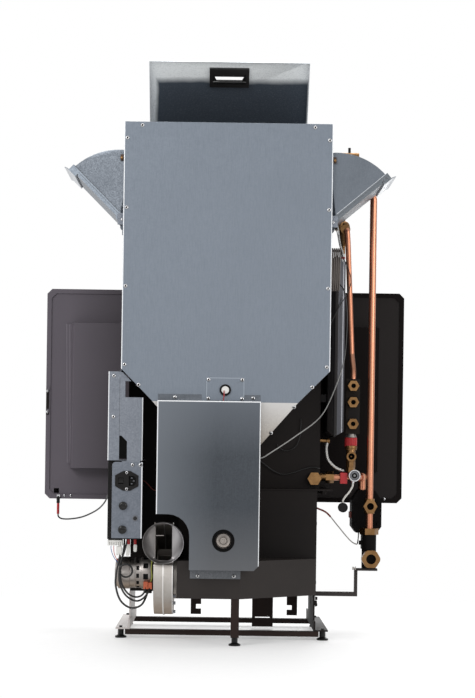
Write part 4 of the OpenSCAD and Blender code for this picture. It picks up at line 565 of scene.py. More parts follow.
# The long lead is black; its lower stretch takes a ribbed light grey by height, a painted highlight, not wear.
lead_sheath, tree, shader, place = start_finish("lead_sheath", (0.012, 0.012, 0.012), 0.0, 0.3)
ribs = noise(tree, stretched(tree, place, (900, 900, 200)), 1, 2)
worn = mixed(tree, ranged(tree, ribs, 0.35, 0.65), (0.27, 0.265, 0.255), (0.15, 0.147, 0.14))
low_part = across(tree, place, "Z", 0.74, 0.66)
feed(tree, shader.inputs["Base Color"], mixed(tree, low_part, (0.012, 0.012, 0.012), worn))
wire_rust = moulded("wire_rust", (0.13, 0.018, 0.010), 0.4)
wire_white = moulded("wire_white", (0.50, 0.50, 0.49), 0.4)
wire_earth = moulded("wire_earth", (0.34, 0.36, 0.05), 0.4)


def woven(name, light, dark, round_count, per_metre, rough=0.35, metal=0.9):
    """Two families of slanted strands over the UV map of a tube."""
    mat, tree, shader, _ = start_finish(name, light, metal, rough)
    uv = add_node(tree, "ShaderNodeTexCoord", out="UV")
    u, v = (add_node(tree, "ShaderNodeSeparateXYZ", {0: uv}, axis) for axis in "XY")
    slants = [maths(tree, "MULTIPLY", u, round_count * lean) for lean in (1, -1)]
    waves = [maths(tree, "PINGPONG", maths(tree, "MULTIPLY_ADD", v, per_metre, slant), 0.5) for slant in slants]
    strand = ranged(tree, maths(tree, "MAXIMUM", *waves), 0.15, 0.5)
    feed(tree, shader.inputs["Base Color"], mixed(tree, strand, dark, light))
    bumped(tree, shader, strand, 0.6, 0.0004)
    return mat


steel_braid = woven("steel_braid", (0.66, 0.65, 0.63), (0.22, 0.21, 0.20), 6, 420)
white_braid = woven("white_braid", (0.74, 0.72, 0.68), (0.40, 0.38, 0.35), 5, 500, 0.6, 0.0)
rope = woven("rope_weave", (0.36, 0.34, 0.30), (0.16, 0.15, 0.13), 5, 260, 0.9, 0.0)

glass, tree, shader, place = start_finish("smoked_glass", (0.05, 0.05, 0.055), 0.0, 0.05)
shader.inputs["Transmission Weight"].default_value = 0.35
shader.inputs["Coat Weight"].default_value = 0.3
feed(tree, shader.inputs["Roughness"], ranged(tree, noise(tree, place, 9, 4), 0.35, 0.75, 0.03, 0.16))
print("plastics, braids and glass ready")

# %% [markdown]
# ## Cords first
# The leads and hoses hang free, so their true length and thickness matter. Each one follows the same points as in
# the source of the solids, on the same smooth curve.

# %% Routes of the cords
routes = {
    "panel_lead": [
        (-443, 181, 300), (-441, 181, 292), (-430, 180, 287), (-405, 165, 288), (-370, 130, 296), (-330, 70, 316),
        (-306, 0, 338), (-296, -44, 356), (-290, -60, 362), (-285, -62, 362)],
    "long_lead": [
        (280, -58, 908), (282, -64, 906), (298, -70, 886), (306, -70, 840), (306, -72, 770), (298, -82, 700),
        (270, -110, 620), (235, -160, 560), (170, -210, 510), (110, -250, 470), (94, -262, 460), (86, -263, 458)],
    "fan_lead": [
        (-251, -182, 232), (-251, -182, 226), (-256, -192, 200), (-261, -201, 172), (-262, -204, 140),
        (-250, -204, 104), (-225, -202, 86), (-200, -198, 92), (-188, -184, 112), (-186, -164, 123), (-186, -150, 124)],
    "capillary": [
        (236, -60, 333), (242, -60, 331), (264, -62, 320), (290, -64, 290), (312, -62, 264), (328, -50, 248),
        (344, -12, 240), (350, 24, 246), (352, 30, 258), (352, 30, 268)],
    "steel_hose": [
        (265, -8, 500), (263, -9, 480), (268, -11, 456), (282, -12, 440), (298, -12, 431), (308, -10, 428)],
    "gauge_tube": [
        (331, -26, 396), (331, -26, 392), (329, -26, 386), (322, -27, 374), (312, -29, 362), (306, -29, 352),
        (306, -29, 343)],
    "motor_lead": [
        (-243, -186, 254), (-243, -186, 244), (-245, -186, 225), (-249, -186, 200), (-252, -186, 178),
        (-251, -187, 155), (-244, -189, 135), (-231, -191, 119), (-215, -191, 112), (-202, -190, 114),
        (-194, -188, 121), (-190, -184, 131)],
    "blue_wire": [
        (-276, -184, 237), (-276, -184, 229), (-272, -186, 216), (-266, -188, 205), (-259, -189, 196),
        (-254, -188, 188)],
    "red_wire": [
        (-269, -187, 237), (-269, -187, 230), (-268, -189, 220), (-264, -190, 209), (-258, -191, 201),
        (-253, -189, 194)],
    "earth_wire": [
        (-176, -172, 226), (-176, -175, 216), (-175, -181, 200), (-176, -184, 180), (-174, -185, 162),
        (-177, -184, 150)],
    "white_wire": [
        (256, -50, 1078), (262, -50, 1076), (274, -49, 1068), (281, -48, 1052), (285, -48, 1030), (289, -47, 1006),
        (295, -46, 988), (297, -45, 980)],
    "sensor_wire": [
        (256, -56, 1064), (262, -56, 1063), (272, -55, 1054), (280, -54, 1034), (286, -54, 1004), (296, -53, 972),
        (309, -52, 944), (316, -53, 920), (315, -54, 898), (305, -57, 874), (288, -60, 846), (274, -63, 818),
        (262, -66, 792), (256, -66, 784)],
    "level_wire": [
        (-3, -251, 620), (-3, -254, 619), (-3, -257, 614), (-3, -258, 606), (-4, -257, 597), (-4, -255, 588),
        (-3, -252, 579), (-2, -249, 572)],
    "gap_wire": [
        (-204, -190, 398), (-198, -190, 398), (-190, -190, 393), (-182, -188, 384), (-175, -184, 377),
        (-166, -178, 374), (-158, -170, 376)],
    "shelf_wire": [
        (84, -25, 456), (84, -29, 455), (92, -31, 451), (108, -31, 439), (128, -30, 425), (150, -30, 417),
        (176, -30, 421), (204, -30, 431), (226, -31, 436), (240, -34, 434), (246, -30, 433)],
    "probe_wire": [
        (196, -27, 560), (196, -30, 552), (195, -30, 530), (192, -30, 508), (184, -30, 490), (170, -30, 480),
        (154, -30, 478), (140, -30, 486), (136, -28, 494)],
}
loop_radius, loop_climb, loop_start = 16, 7, 165
looped = [(-236, -190, 254), (-237, -190, 246), (-243, -192, 222), (-251, -194, 200)]
for angle in range(loop_start, loop_start + 361, 24):
    a, climbed = math.radians(angle), loop_climb * (angle - loop_start) / 360
    looped.append((-238 + loop_radius * math.cos(a), -195 - climbed, 177 + loop_radius * math.sin(a)))
routes["looped_lead"] = looped + [
    (-254, -203, 156), (-249, -204, 137), (-239, -204, 119), (-224, -203, 107), (-208, -201, 103), (-195, -198, 109),
    (-186, -195, 119), (-182, -190, 126), (-180, -184, 132)]

print("routes:", len(routes))

# %% [markdown]
# A cord is a tube along its route. Its length is measured on the same path that its tube follows.

# %% Laying a cord
def on_stove(slot, *objs):
    """Lets pieces ride on the fixed body; slot is not used."""
    for obj in objs:
        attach(obj, "stove")


def near(c, x, z, r):
    """True within r of an axis along y at x, z."""
    return (c.x - x) ** 2 + (c.z - z) ** 2 < r * r


def lay_cord(name, diameter, mat, steps=6, slot="black_rubber",
             path=None):
    """A cord along its route or a ready path; steps is how finely the route is divided."""
    path = path or smooth_path(routes[name], steps)
    obj = tube(name, path, diameter, mat)
    on_stove(slot, obj)
    print(name, "length", round(path_length(path), 3), "m")
    return obj


print("cords can be laid")

# %% [markdown]
# The panel lead starts in a connector: a red sleeve under a stepped rubber boot, held by a tab of the rim. The boot
# and the sleeve are turned shapes, so the lathe makes them. The capillary's first stretch wears a rust-red sleeve.

# %% Connector and leads
sleeve = lathe("lead_sleeve", [(3.0, 0), (3.5, 0.6), (3.5, 10), (3.1, 11), (3.5, 12), (3.5, 28), (3.0, 29)],
               (-0.443, 0.181, 0.300), UP, red_plastic, 24)
boot = lathe("lead_boot", [(2.6, 0), (4.6, 1), (4.6, 5), (4.1, 5.6), (4.1, 6.6), (4.6, 7.2), (4.6, 14), (3, 17),
                           (2.4, 19)], (-0.443, 0.181, 0.329), UP, black_rubber, 24)
tab = rounded_box("lead_tab", (-446, 181, 341), (-440, 186, 348), black_plastic, 0.8)
on_stove("black_rubber", sleeve, boot, tab)
panel_lead = lay_cord("panel_lead", 0.004, wire_black)
lay_cord("long_lead", 0.003, lead_sheath)
lay_cord("fan_lead", 0.005, wire_black, 5)
capillary_sleeve = tube("capillary_sleeve", smooth_path(routes["capillary"], 6)[:15], 0.0046, wire_rust)
on_stove("black_rubber", capillary_sleeve)
lay_cord("capillary", 0.003, wire_grey)
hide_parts("cable_leads")
print("leads laid")

# %% [markdown]
# Two more leads leave the control box for the fan motor. One runs straight down, the other makes one full turn
# first, because it was too long.

# %% Motor leads
lay_cord("motor_lead", 0.0046, wire_black)
lay_cord("looped_lead", 0.0046, wire_black, 3)
print("motor leads laid")

# %% [markdown]
# The thin wires are laid the same way, each in its own colour. The white one ends in a small plug with a red band.

# %% Thin wires
for name, width, mat in (
        ("blue_wire", 0.0016, wire_blue), ("red_wire", 0.0016, wire_red), ("earth_wire", 0.0022, wire_earth),
        ("white_wire", 0.003, wire_white), ("sensor_wire", 0.0022, wire_black), ("level_wire", 0.0022, wire_red),
        ("gap_wire", 0.0022, wire_rust), ("shelf_wire", 0.003, wire_black), ("probe_wire", 0.0022, wire_black)):
    lay_cord(name, width, mat, 5)
vent_plug = rounded_box("vent_plug", (293, -50, 962), (301, -40, 981), white_plastic, 0.8)
vent_band = rounded_box("vent_band", (292.4, -50.6, 968), (301.6, -39.4, 973), red_plastic, 0.6)
on_stove("white_plastic", vent_plug, vent_band)
print("thin wires laid")

# %% [markdown]
# A braided steel hose and a white braided tube serve the safety side. The gauge at the tube's end is turned in one
# piece, and its rim gets a bright finish by the distance of each face from the middle.

# %% Hose and gauge
hose = lay_cord("steel_hose", 0.0076, steel_braid, 8, "bright_steel")
lay_cord("gauge_tube", 0.005, white_braid, 6, "bright_steel")
hose_stub = lathe("hose_stub", [(5, 0), (5, 16), (7, 17), (7, 25), (5, 26)], (0.246, -0.008, 0.505), RIGHT, brass)
gauge = lathe("gauge_case", [(9, 14), (12.2, 13.4), (12.5, 12), (12.5, 1.5), (12, 0), (10.8, 0), (10.4, 1.4),
                             (0.1, 1.4)], (0.306, -0.036, 0.334), (0, 1, 0), black_plastic)
mark(gauge, bright_steel, lambda c: c.y < -34.2 and not near(c, 306, 334, 11.6))
on_stove("bright_steel", hose_stub, gauge)
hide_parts("flexible_hoses")
print("hoses laid")

# %% [markdown]
# ## The hank of cable
# The sensor cable of the boiler is too long for its place, so the fitter wound it into a hank and hung it on a peg.
# The path is a racetrack with a drawn-in waist that climbs outward by a little more than one cord with each turn.

# %% Hank
loops, per_turn, climb = 5, 48, 4.7
half_wide, half_high, drawn_in = 16, 52, 0.25
hank_path = []
for i in range(loops * per_turn + 1):
    c, s = math.cos(2 * math.pi * i / per_turn), math.sin(2 * math.pi * i / per_turn)
    waist = 1 - drawn_in * abs(s) ** 3
    hank_path.append(Vector((258 + climb * i / per_turn, -140 + half_wide * s * waist, 930 + half_high * c)) / 1000)
hank = lay_cord("cable_loops", 0.004, hank_sheath, slot="cable_grey", path=hank_path)
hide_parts("cable_hank")
print("hank of", loops, "loops wound")

# %% [markdown]
# ## Finished copies of the solids
# A solid comes as loose triangles with knife-sharp edges. A copy with its doubles merged and its flat faces
# dissolved can take a bevel, and a bevel is what makes sheet metal look folded and castings look cast.
# A rule picks the finish of each face by its place, where one solid holds more than one stuff, and where painted
# highlights and painted shade fall on some faces.

# %% Finished copy of a solid
record = frame["record"]
body_of = {n: b for b, members in record["behaviour"]["bodies"].items() for n in members}


def rides_with(obj, node):
    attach(obj, body_of[node])
    return obj


def dressed(node, mats, pick=None, bevel=0.5, angle=30, keep=None, segments=2, flatten=True):
    """A merged copy of a solid with soft edges. pick(centre in mm, normal) gives the number of the finish."""
    bm = bmesh.new()
    bm.from_mesh(nodes[node].data)
    bmesh.ops.remove_doubles(bm, verts=bm.verts, dist=1e-5)
    if keep:
        gone = [f for f in bm.faces if not keep(f.calc_center_median() * 1000, f.normal)]
        bmesh.ops.delete(bm, geom=gone, context="FACES")
    if flatten:
        bmesh.ops.dissolve_limit(bm, angle_limit=math.radians(0.5), verts=bm.verts, edges=bm.edges)
    for f in bm.faces:
        f.material_index = int(pick(f.calc_center_median() * 1000, f.normal)) if pick else 0
    mesh = bpy.data.meshes.new(node + "_finished")
    bm.to_mesh(mesh)
    bm.free()
    for m in mats if isinstance(mats, list) else [mats]:
        mesh.materials.append(m)
    obj = placed(mesh.name, mesh)
    if bevel:
        bevelled(obj, bevel / 1000, segments, angle)
        obj.modifiers["edge"].use_clamp_overlap = True
    else:
        smooth(obj, angle)
    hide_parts(node)
    return rides_with(obj, node)


def in_bore(c, n, x, z, r, front):
    """True on the wall and the floor of a bore along y at x, z."""
    return near(c, x, z, r) and (abs(n.y) < 0.5 or c.y > front + 1)


print("copies can be made")

# %% [markdown]
# ## The hopper
# The hopper is folded from galvanised sheet. Its back panel is one flat sheet with a fold at each side, so a bevel
# of about a millimetre and a painted highlight give the bright line that a bend shows.

# %% Hopper sheets
for node in ("hopper_shell", "hopper_top"):
    dressed(node, zinc, bevel=0.7)
# The folds and side faces of the back panel take painted highlights.
dressed("hopper_rear_panel", [panel_zinc, zinc_highlight], lambda c, n: abs(n.y) < 0.5)
dressed("hopper_funnel", funnel_zinc, bevel=0.8)
print("hopper dressed")

# %% [markdown]
# The lid is a fresh, glossy sheet. Most of it mirrors the dark room behind the camera, and the upper third and a
# strip at the left mirror a white wall. Both are painted reflections in the colour of the finish, which says where
# that soft border runs, so it stays with the lid.

# %% Finish of the lid
lid_zinc, tree, shader, place = start_finish("galvanised_lid", (0.30, 0.325, 0.345), 0.6, 0.5)
drift = noise(tree, place, 9, 3)
dark_reflection = None
for axis, start, end, wander in (("Z", 1.408, 1.394, 0.003), ("X", -0.187, -0.176, 0.003), ("X", 0.1985, 0.196, 0.0)):
    run = add_node(tree, "ShaderNodeSeparateXYZ", {0: place}, axis)
    moved = maths(tree, "ADD", run, ranged(tree, drift, 0.3, 0.7, -wander, wander))
    mask = ranged(tree, moved, start, end)
    dark_reflection = mask if dark_reflection is None else maths(tree, "MINIMUM", dark_reflection, mask)
tone = mixed(tree, dark_reflection, (0.80, 0.825, 0.83), (0.050, 0.062, 0.080))
grain = noise(tree, stretched(tree, place, (300, 300, 900)), 1, 3)
tone = mixed(tree, ranged(tree, grain, 0.5, 0.75, 0, 0.38), tone, (0.15, 0.17, 0.19))
feed(tree, shader.inputs["Base Color"], tone)
shader.inputs["Specular IOR Level"].default_value = 0.3
bumped(tree, shader, grain, 0.05, 0.0003)
print("lid finish:", lid_zinc.name)

# %% [markdown]
# The grip is a black plastic cup in the lid. A round bar crosses it, and a small wedge stands at each end of it.

# %% Lid and grip
# The lid's side and upper edges take the painted highlight.
dressed("hopper_lid", [lid_zinc, zinc_highlight], lambda c, n: abs(n.x) > 0.7 or n.z > 0.75, bevel=0.45)
dressed("lid_grip", black_plastic, bevel=0.7)
bar = lathe("grip_bar", [(1.5, 0), (4.2, 5), (4.2, 79), (1.5, 84)], (-0.042, -0.1262, 1.3968), RIGHT, gloss_black,
            24)
ends = []
for side in (-1, 1):
    corner = Vector((side * 0.0402, -0.1337, 1.4068))
    rise = Vector((0, -0.0048, 0.0064))
    face = [corner - rise, corner - rise - Vector((side * 0.009, 0, 0)), corner + rise]
    verts = face + [v + Vector((0, 0.0025, 0.0019)) for v in face]
    sides = [(0, 1, 2), (5, 4, 3), (0, 3, 4, 1), (1, 4, 5, 2), (2, 5, 3, 0)]
    ends.append(recalc(add_piece("end", verts, sides, gloss_black)))
rides_with(joined("grip_details", [bar] + ends), "lid_grip")
print("lid dressed")

# %% [markdown]
# ## Tilting chutes
# Each chute is a tray with two round cheeks that slide past the side of the hopper. The cheeks stay flat and dull,
# while the folded bands and the flared lip catch the light. The left chute has a lit copy of the zinc and the right
# one a shaded copy, as painted light and shade, and the lips take painted highlights.

# %% Chutes
pivot_x, pivot_z = 264, 1042
cheek_back, lip_low, lip_x = -231.7, 1130, 372
# The fold is painted shade at the left and a painted highlight at the right; the crease is a painted shade line; the
# web is painted light.
flap_trims = (  # seam, fold, crease, web: two corners in mm on the flap, front, depth, softness of the edges
    (-9, 141, 1, 147, -232.6, 1.6, 0.2), (-9.6, 9, -8.2, 165, -232.8, 1.6, 0.2),
    (-4.2, 9, -3.4, 141, -232.7, 1.0, 0.1), (1.7, 145.7, 7.4, 147.2, -231.3, 188.6, 0.2))
for node, side, lean, body_zinc, band_zinc, fold_zinc in (
        ("chute_left", -1, 45,
         galvanised("chute_left_zinc", (0.125, 0.142, 0.166), (0.270, 0.298, 0.336), cell=520, cloud=0.6),
         galvanised("band_left_zinc", (0.20, 0.23, 0.27), (0.30, 0.34, 0.385), cell=420), shaded_zinc),
        ("chute_right", 1, 50,
         galvanised("chute_right_zinc", (0.120, 0.136, 0.158), (0.140, 0.157, 0.180), cell=600),
         galvanised("band_right_zinc", (0.115, 0.128, 0.142), (0.145, 0.160, 0.175), cell=600), zinc_highlight)):
    # Cheeks and bands take the lit copies at the left and the shaded copies at the right; the lips take a painted
    # highlight.
    dressed(node, [body_zinc, band_zinc, zinc_highlight], lambda c, n: 1 if c.y < cheek_back and n.y < -0.9 else (
        2 if abs(n.y) < 0.3 and (c.z > lip_low or abs(c.x) > lip_x) else 0), bevel=0.4)
    c, d = math.cos(math.radians(lean)), math.sin(math.radians(lean))
    trims = []
    for (x0, z0, x1, z1, *rest), mat in zip(flap_trims, (band_zinc, fold_zinc, shaded_zinc, seam_grey)):
        corners = [(side * (pivot_x + x * c + z * d), pivot_z - x * d + z * c)
                   for x, z in ((x0, z0), (x1, z0), (x1, z1), (x0, z1))]
        trims.append(plate("trim", corners, "y", *rest[:2], mat, rest[2]))
    rides_with(joined(node + "_trim", trims), node)
dressed("chute_hinges", [bracket_zinc, zinc], lambda c, n: 0 if abs(c.y + 235) < 1.2 or abs(n.y) < 0.5 else 1,
        bevel=0.3)
catches = []
for side in (-1, 1):
    low, high = sorted((side * 254.2, side * 263))
    catches.append(rounded_box("catch", (low, -236, 1178), (high, -233.4, 1193), browned, 0.6))
    catches.append(lathe("catch_pin", [(1.2, 0), (3, 0.6), (3, 4.5), (1.6, 5.5)], (side * 0.2595, -0.2355, 1.184),
                         BACK, brass, 20))
rides_with(joined("chute_catches", catches), "hopper_shell")
print("chutes dressed")

# %% [markdown]
# ## Screws by Geometry Nodes
# Sheet screws repeat all over the back. Bare points say where they sit, and a node tree puts the same head on each
# point: a flattened ball, cut by a six-sided socket. The sizes are inputs of the tree, and each head gets its own
# turn from a fixed seed.

# %% Parts that all trees share
def new_tree(name, *inputs):
    """An empty tree with inputs (label, kind, value), and the sockets that give them inside."""
    tree = bpy.data.node_groups.new(name, "GeometryNodeTree")
    for label, kind, value in inputs + (("Finish", "Material", None),):
        socket = tree.interface.new_socket(label, in_out="INPUT", socket_type="NodeSocket" + kind)
        if value is not None:
            socket.default_value = value
    tree.interface.new_socket("Geometry", in_out="OUTPUT", socket_type="NodeSocketGeometry")
    return tree, tree.nodes.new("NodeGroupInput").outputs


def end_tree(tree, given, points, shape, rotation):
    """Sets the shape on each point, gives it its finish and hands the plain mesh out."""
    dots = add_node(tree, "GeometryNodeInstanceOnPoints", {"Points": points, "Instance": shape, "Rotation": rotation})
    real = add_node(tree, "GeometryNodeRealizeInstances", {0: dots})
    paint = add_node(tree, "GeometryNodeSetMaterial", {"Geometry": real, "Material": given["Finish"]})
    tree.links.new(paint, tree.nodes.new("NodeGroupOutput").inputs[0])
    return tree


def grown(name, tree, places, **values):
    """Runs a tree on bare points in mm, with values for its inputs, and keeps the result as a plain mesh."""
    carrier = add_piece(name + "_points", [Vector(p) / 1000 for p in places], [], values["Finish"])
    mod = carrier.modifiers.new("grow", "NODES")
    mod.node_group = tree
    key = {s.name.replace(" ", "_"): s.identifier for s in tree.interface.items_tree if s.in_out == "INPUT"}
    for label, value in values.items():
        mod[key[label]] = value
    mesh = bpy.data.meshes.new_from_object(carrier.evaluated_get(bpy.context.evaluated_depsgraph_get()))
    bpy.data.objects.remove(carrier)
    return placed(name, mesh)


geometry_in, facing_in = ("Geometry", "Geometry", None), ("Facing", "Vector", BACK)
print("tree parts ready")

# %% [markdown]
# A screw head is a flattened ball, cut by a cylinder of six sides. The random turn comes before the aim, so each
# socket sits at its own angle while all heads still look the same way.

# %% Tree of the screw heads
def screw_tree():
    tree, given = new_tree("button_screws", geometry_in, ("Head Radius", "Float", 0.0045), (
        "Head Height", "Float", 0.0028), ("Socket Radius", "Float", 0.0018), ("Sides", "Int", 6), facing_in)
    ball = add_node(tree, "GeometryNodeMeshUVSphere", {"Segments": 24, "Rings": 12, "Radius": 1.0}, "Mesh")
    size = add_node(tree, "ShaderNodeCombineXYZ", {
        "X": given["Head Radius"], "Y": given["Head Radius"], "Z": given["Head Height"]})
    flat = add_node(tree, "GeometryNodeTransform", {"Geometry": ball, "Scale": size})
    socket = add_node(tree, "GeometryNodeMeshCylinder", {
        "Depth": 0.006, "Vertices": given["Sides"], "Radius": given["Socket Radius"]}, "Mesh")
    lifted = add_node(tree, "GeometryNodeTransform", {"Geometry": socket, "Translation": (0, 0, 0.0042)})
    cut = add_node(tree, "GeometryNodeMeshBoolean", {"Mesh 1": flat, "Mesh 2": lifted}, operation="DIFFERENCE",
                   solver="EXACT")
    chance = add_node(tree, "FunctionNodeRandomValue", {3: 6.28, "Seed": 7}, 1, data_type="FLOAT")
    turn = add_node(tree, "ShaderNodeCombineXYZ", {"Z": chance})
    aim = add_node(tree, "FunctionNodeAlignEulerToVector", {"Rotation": turn, "Vector": given["Facing"]}, axis="Z")
    return end_tree(tree, given, given["Geometry"], cut, aim)


screw_group = screw_tree()
print("screw tree has", len(screw_group.nodes), "nodes")

# %% [markdown]
# A hexagon bolt is three cylinders on one axis: a head with six sides, the end of its shank, and a washer that is
# a quarter wider than the head. Half of each length is the rise that makes it stand on the sheet.

# %% Tree of the hexagon bolts
def bolt_tree():
    tree, given = new_tree("hexagon_bolts", geometry_in, ("Head Radius", "Float", 0.004), (
        "Head Height", "Float", 0.004), ("Shank Radius", "Float", 0.002), ("Shank", "Float", 0.006), facing_in)
    rods = []
    for radius, depth, sides, washer in (("Head Radius", "Head Height", 6, 1.0), ("Shank Radius", "Shank", 12, 1.0),
                                         ("Head Radius", "Shank Radius", 20, 1.25)):
        wide = maths(tree, "MULTIPLY", given[radius], washer)
        rod = add_node(tree, "GeometryNodeMeshCylinder", {
            "Vertices": sides, "Radius": wide, "Depth": given[depth]}, "Mesh")
        rise = maths(tree, "MULTIPLY", given[depth], 0.5)
        if sides == 6:
            rise = maths(tree, "ADD", rise, given["Shank"])
        up = add_node(tree, "ShaderNodeCombineXYZ", {"Z": rise})
        rods.append(add_node(tree, "GeometryNodeTransform", {"Geometry": rod, "Translation": up}))
    both = add_node(tree, "GeometryNodeJoinGeometry", {0: rods})
    aim = add_node(tree, "FunctionNodeAlignEulerToVector", {"Vector": given["Facing"]}, axis="Z")
    return end_tree(tree, given, given["Geometry"], both, aim)


bolt_group = bolt_tree()
print("bolt tree has", len(bolt_group.nodes), "nodes")

# %% [markdown]
# Each call names its points in millimetres. The floor and the walls of a socket get a dark finish, a painted shade,
# by their distance from the axis, because a real socket hardly lets light out.

# %% Heads on points
def bolts(name, places, mat, node, radius=4.0, height=3.5, shank=3.0, facing=BACK):
    """Hexagon bolts standing on places in mm, as one plain mesh that rides with node."""
    obj = grown(name, bolt_group, places, Head_Radius=radius / 1000, Head_Height=height / 1000, Facing=facing,
                Shank_Radius=radius / 2000, Shank=shank / 1000, Finish=mat)
    return rides_with(smooth(obj, 30), node)


def screws(name, places, mat, node, radius=4.9, height=2.8, socket=2.3, facing=BACK):
    """Screw heads at places in mm, all facing one way, as one plain mesh that rides with node."""
    obj = grown(name, screw_group, places, Head_Radius=radius / 1000, Head_Height=height / 1000,
                Socket_Radius=socket / 1000, Sides=6, Facing=facing, Finish=mat)
    axis = Vector(facing)

    def in_socket(c):
        away = min((c - Vector(p) for p in places), key=lambda v: v.length)
        return (away - axis * away.dot(axis)).length < socket * 0.98

    # Painted shade in the sockets.
    mark(obj, socket_dark, in_socket)
    return rides_with(smooth(obj, 40), node)


edge_x, hopper_y, cover_y = 246, -243, -244.5
places = [(s * edge_x, hopper_y, z) for s in (-1, 1) for z in (1232, 1063, 872, 681)]
places += [(s * 210, hopper_y, 1263) for s in (-1, 1)] + [(s * 211, hopper_y, 632) for s in (-1, 1)]
places += [(-122, cover_y, 603), (68, cover_y, 603), (-61, cover_y, 170), (27, cover_y, 170)]
head = screws("hopper_screw_heads", places, bright_steel, "hopper_screws")
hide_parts("hopper_screws")
screws("band_rivets", [(378.3, -232.5, 1137.2), (385.5, -232.5, 1144.7)], dull_steel, "chute_right", 2.4, 0.8, 0.9)
screws("hinge_screws", [(-257, -236.5, 1034), (257, -236.5, 1034)], bright_steel, "chute_hinges", 3.6, 2, 1.4)
print("screw heads:", len(places), "faces:", len(head.data.polygons))

# %% [markdown]
# ## Level sensor
# A white sensor looks into the pellets through a small plate. Only its face and its black ring show.

# %% Level sensor
head_clear = 4.4
sensor_screws = [(x, cover_y, z) for x in (-41, 41) for z in (601, 647)]
low, high = (Vector(c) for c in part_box("sensor_plate"))
inset, half_line = 0.0006, 0.0011
# The plate's left, right and top edges take painted highlight lines.
rim_highlights = [("X", low.x + inset, half_line), ("X", high.x - inset, half_line), ("Z", high.z - inset, half_line)]
sensor_zinc = galvanised("sensor_zinc", *sheet, lines=rim_highlights, highlight_tone=(0.30, 0.33, 0.37))


def open_round(places, radius, front=0):
    """Keeps all faces but those of the heads at places, which lie in front of front and within radius."""
    return lambda c, n: c.y >= front or not any(near(c, x, z, radius) for x, _, z in places)


dressed("sensor_plate", sensor_zinc, keep=open_round(sensor_screws, head_clear), bevel=0.4)
screws("sensor_screw_heads", sensor_screws, bright_steel, "sensor_plate")
dressed("level_sensor", [white_plastic, black_plastic], lambda c, n: -250 < c.y < -244, bevel=0.6)
slope = (0, -0.938, -0.345)
screws("funnel_screws", [(167.7, -238, 583.4), (113.4, -214.5, 519.7)], bright_steel, "hopper_funnel", facing=slope)
print("sensor in place")

# %% [markdown]
# ## Auger drive
# The gearmotor sits under a folded cover. Through its round hole one sees the browned disc of the gearbox and the
# bright end of the shaft.

# %% Auger drive
cover_front, tab_low, hole_z = -284, 595, 0.258
# The cover's front edges take the painted highlight, and its side walls the painted shade.
dressed("auger_cover", [cover_zinc, zinc_highlight, shaded_zinc, tab_zinc], lambda c, n: (
    int(abs(n.y) < 0.5) if c.y < cover_front else (3 if n.y < -0.9 and c.z > tab_low else 2)))
dressed("cover_ring", socket_dark, bevel=0.3)
rim = lathe("disc_rim", [(15.4, 0), (17.2, 0), (17.2, 1.4), (16.3, 2), (15.4, 1.4)], (0, -0.2762, hole_z), BACK,
            steel, 64)
nose = lathe("shaft_nose", [(8.4, 0), (8.4, 0.8), (7.6, 1.6), (4.2, 1.6), (3.8, 0.8), (0.1, 0.8)],
             (0, -0.2799, hole_z), BACK, steel, 40)
rides_with(rim, "gearmotor")
rides_with(nose, "auger_shaft")
dressed("auger_tube", black_paint, bevel=0.4)
dressed("auger_shaft", shaft_steel)
dressed("auger_screw", steel, bevel=0, angle=45)
dressed("gearmotor", [cast_aluminium, disc_steel], lambda c, n: c.y < -262, bevel=0.8)
print("auger dressed")

# %% [markdown]
# ## Controls
# A folded bracket at the left holds the power inlet with its rocker switch, two screw caps and a reset button.

# %% Bracket and inlet plate
bracket_screws = [(-272, -228, 654), (-272, -228, 554)]
# The bracket's left fold takes the painted highlight.
dressed("control_bracket", [bracket_zinc, zinc_highlight], lambda c, n: n.x < -0.7 and c.x < -280,
        keep=open_round(bracket_screws, 4.7, -228.05))
screws("bracket_screw_heads", bracket_screws, bright_steel, "control_bracket")
plate_screws = [(-223.5, -229.5, 437), (-204.5, -229.5, 437)]
# The plate's side faces take the painted highlight.
dressed("inlet_plate", [plate_zinc, zinc_highlight], lambda c, n: abs(n.x) > 0.5,
        keep=open_round(plate_screws, head_clear), bevel=0.4)
screws("plate_screw_heads", plate_screws, bright_steel, "inlet_plate")
dressed("control_box", black_plastic, keep=lambda c, n: c.z > 254 or n.z < -0.9 and c.z > 253.5, bevel=0.8)
guard = plate("cable_guard", [(-266, 452), (-236, 452), (-236, 512), (-266, 512)], "y", -226.4, 1.2, socket_dark, 0.2)
# A thin dark strip along the bracket's fold is painted shade.
fold_line = plate("fold_line", [(-257.7, 508), (-256.7, 508), (-256.7, 651), (-257.7, 651)], "y", -228.25, 0.6,
                  shaded_zinc, 0.1)
rides_with(joined("bracket_trim", [guard, fold_line]), "control_bracket")
print("bracket dressed")

# %% [markdown]
# The loom ends in housings under the control box: a white one with a pin row and a smaller one below it, and two
# spade terminals in white covers with red sleeves. A comb outline gives the housings their ribs.

# %% Loom plugs
def comb(x0, x1, z0, z1, teeth, deep):
    """Outline of a block whose lower edge has ribs."""
    line = [(x1, z1), (x0, z1), (x0, z0)]
    step = (x1 - x0) / teeth
    for k in range(teeth - 1):
        x = x0 + (k + 1) * step
        line += [(x - 0.7, z0), (x - 0.7, z0 + deep), (x + 0.7, z0 + deep), (x + 0.7, z0)]
    return line + [(x1, z0)]


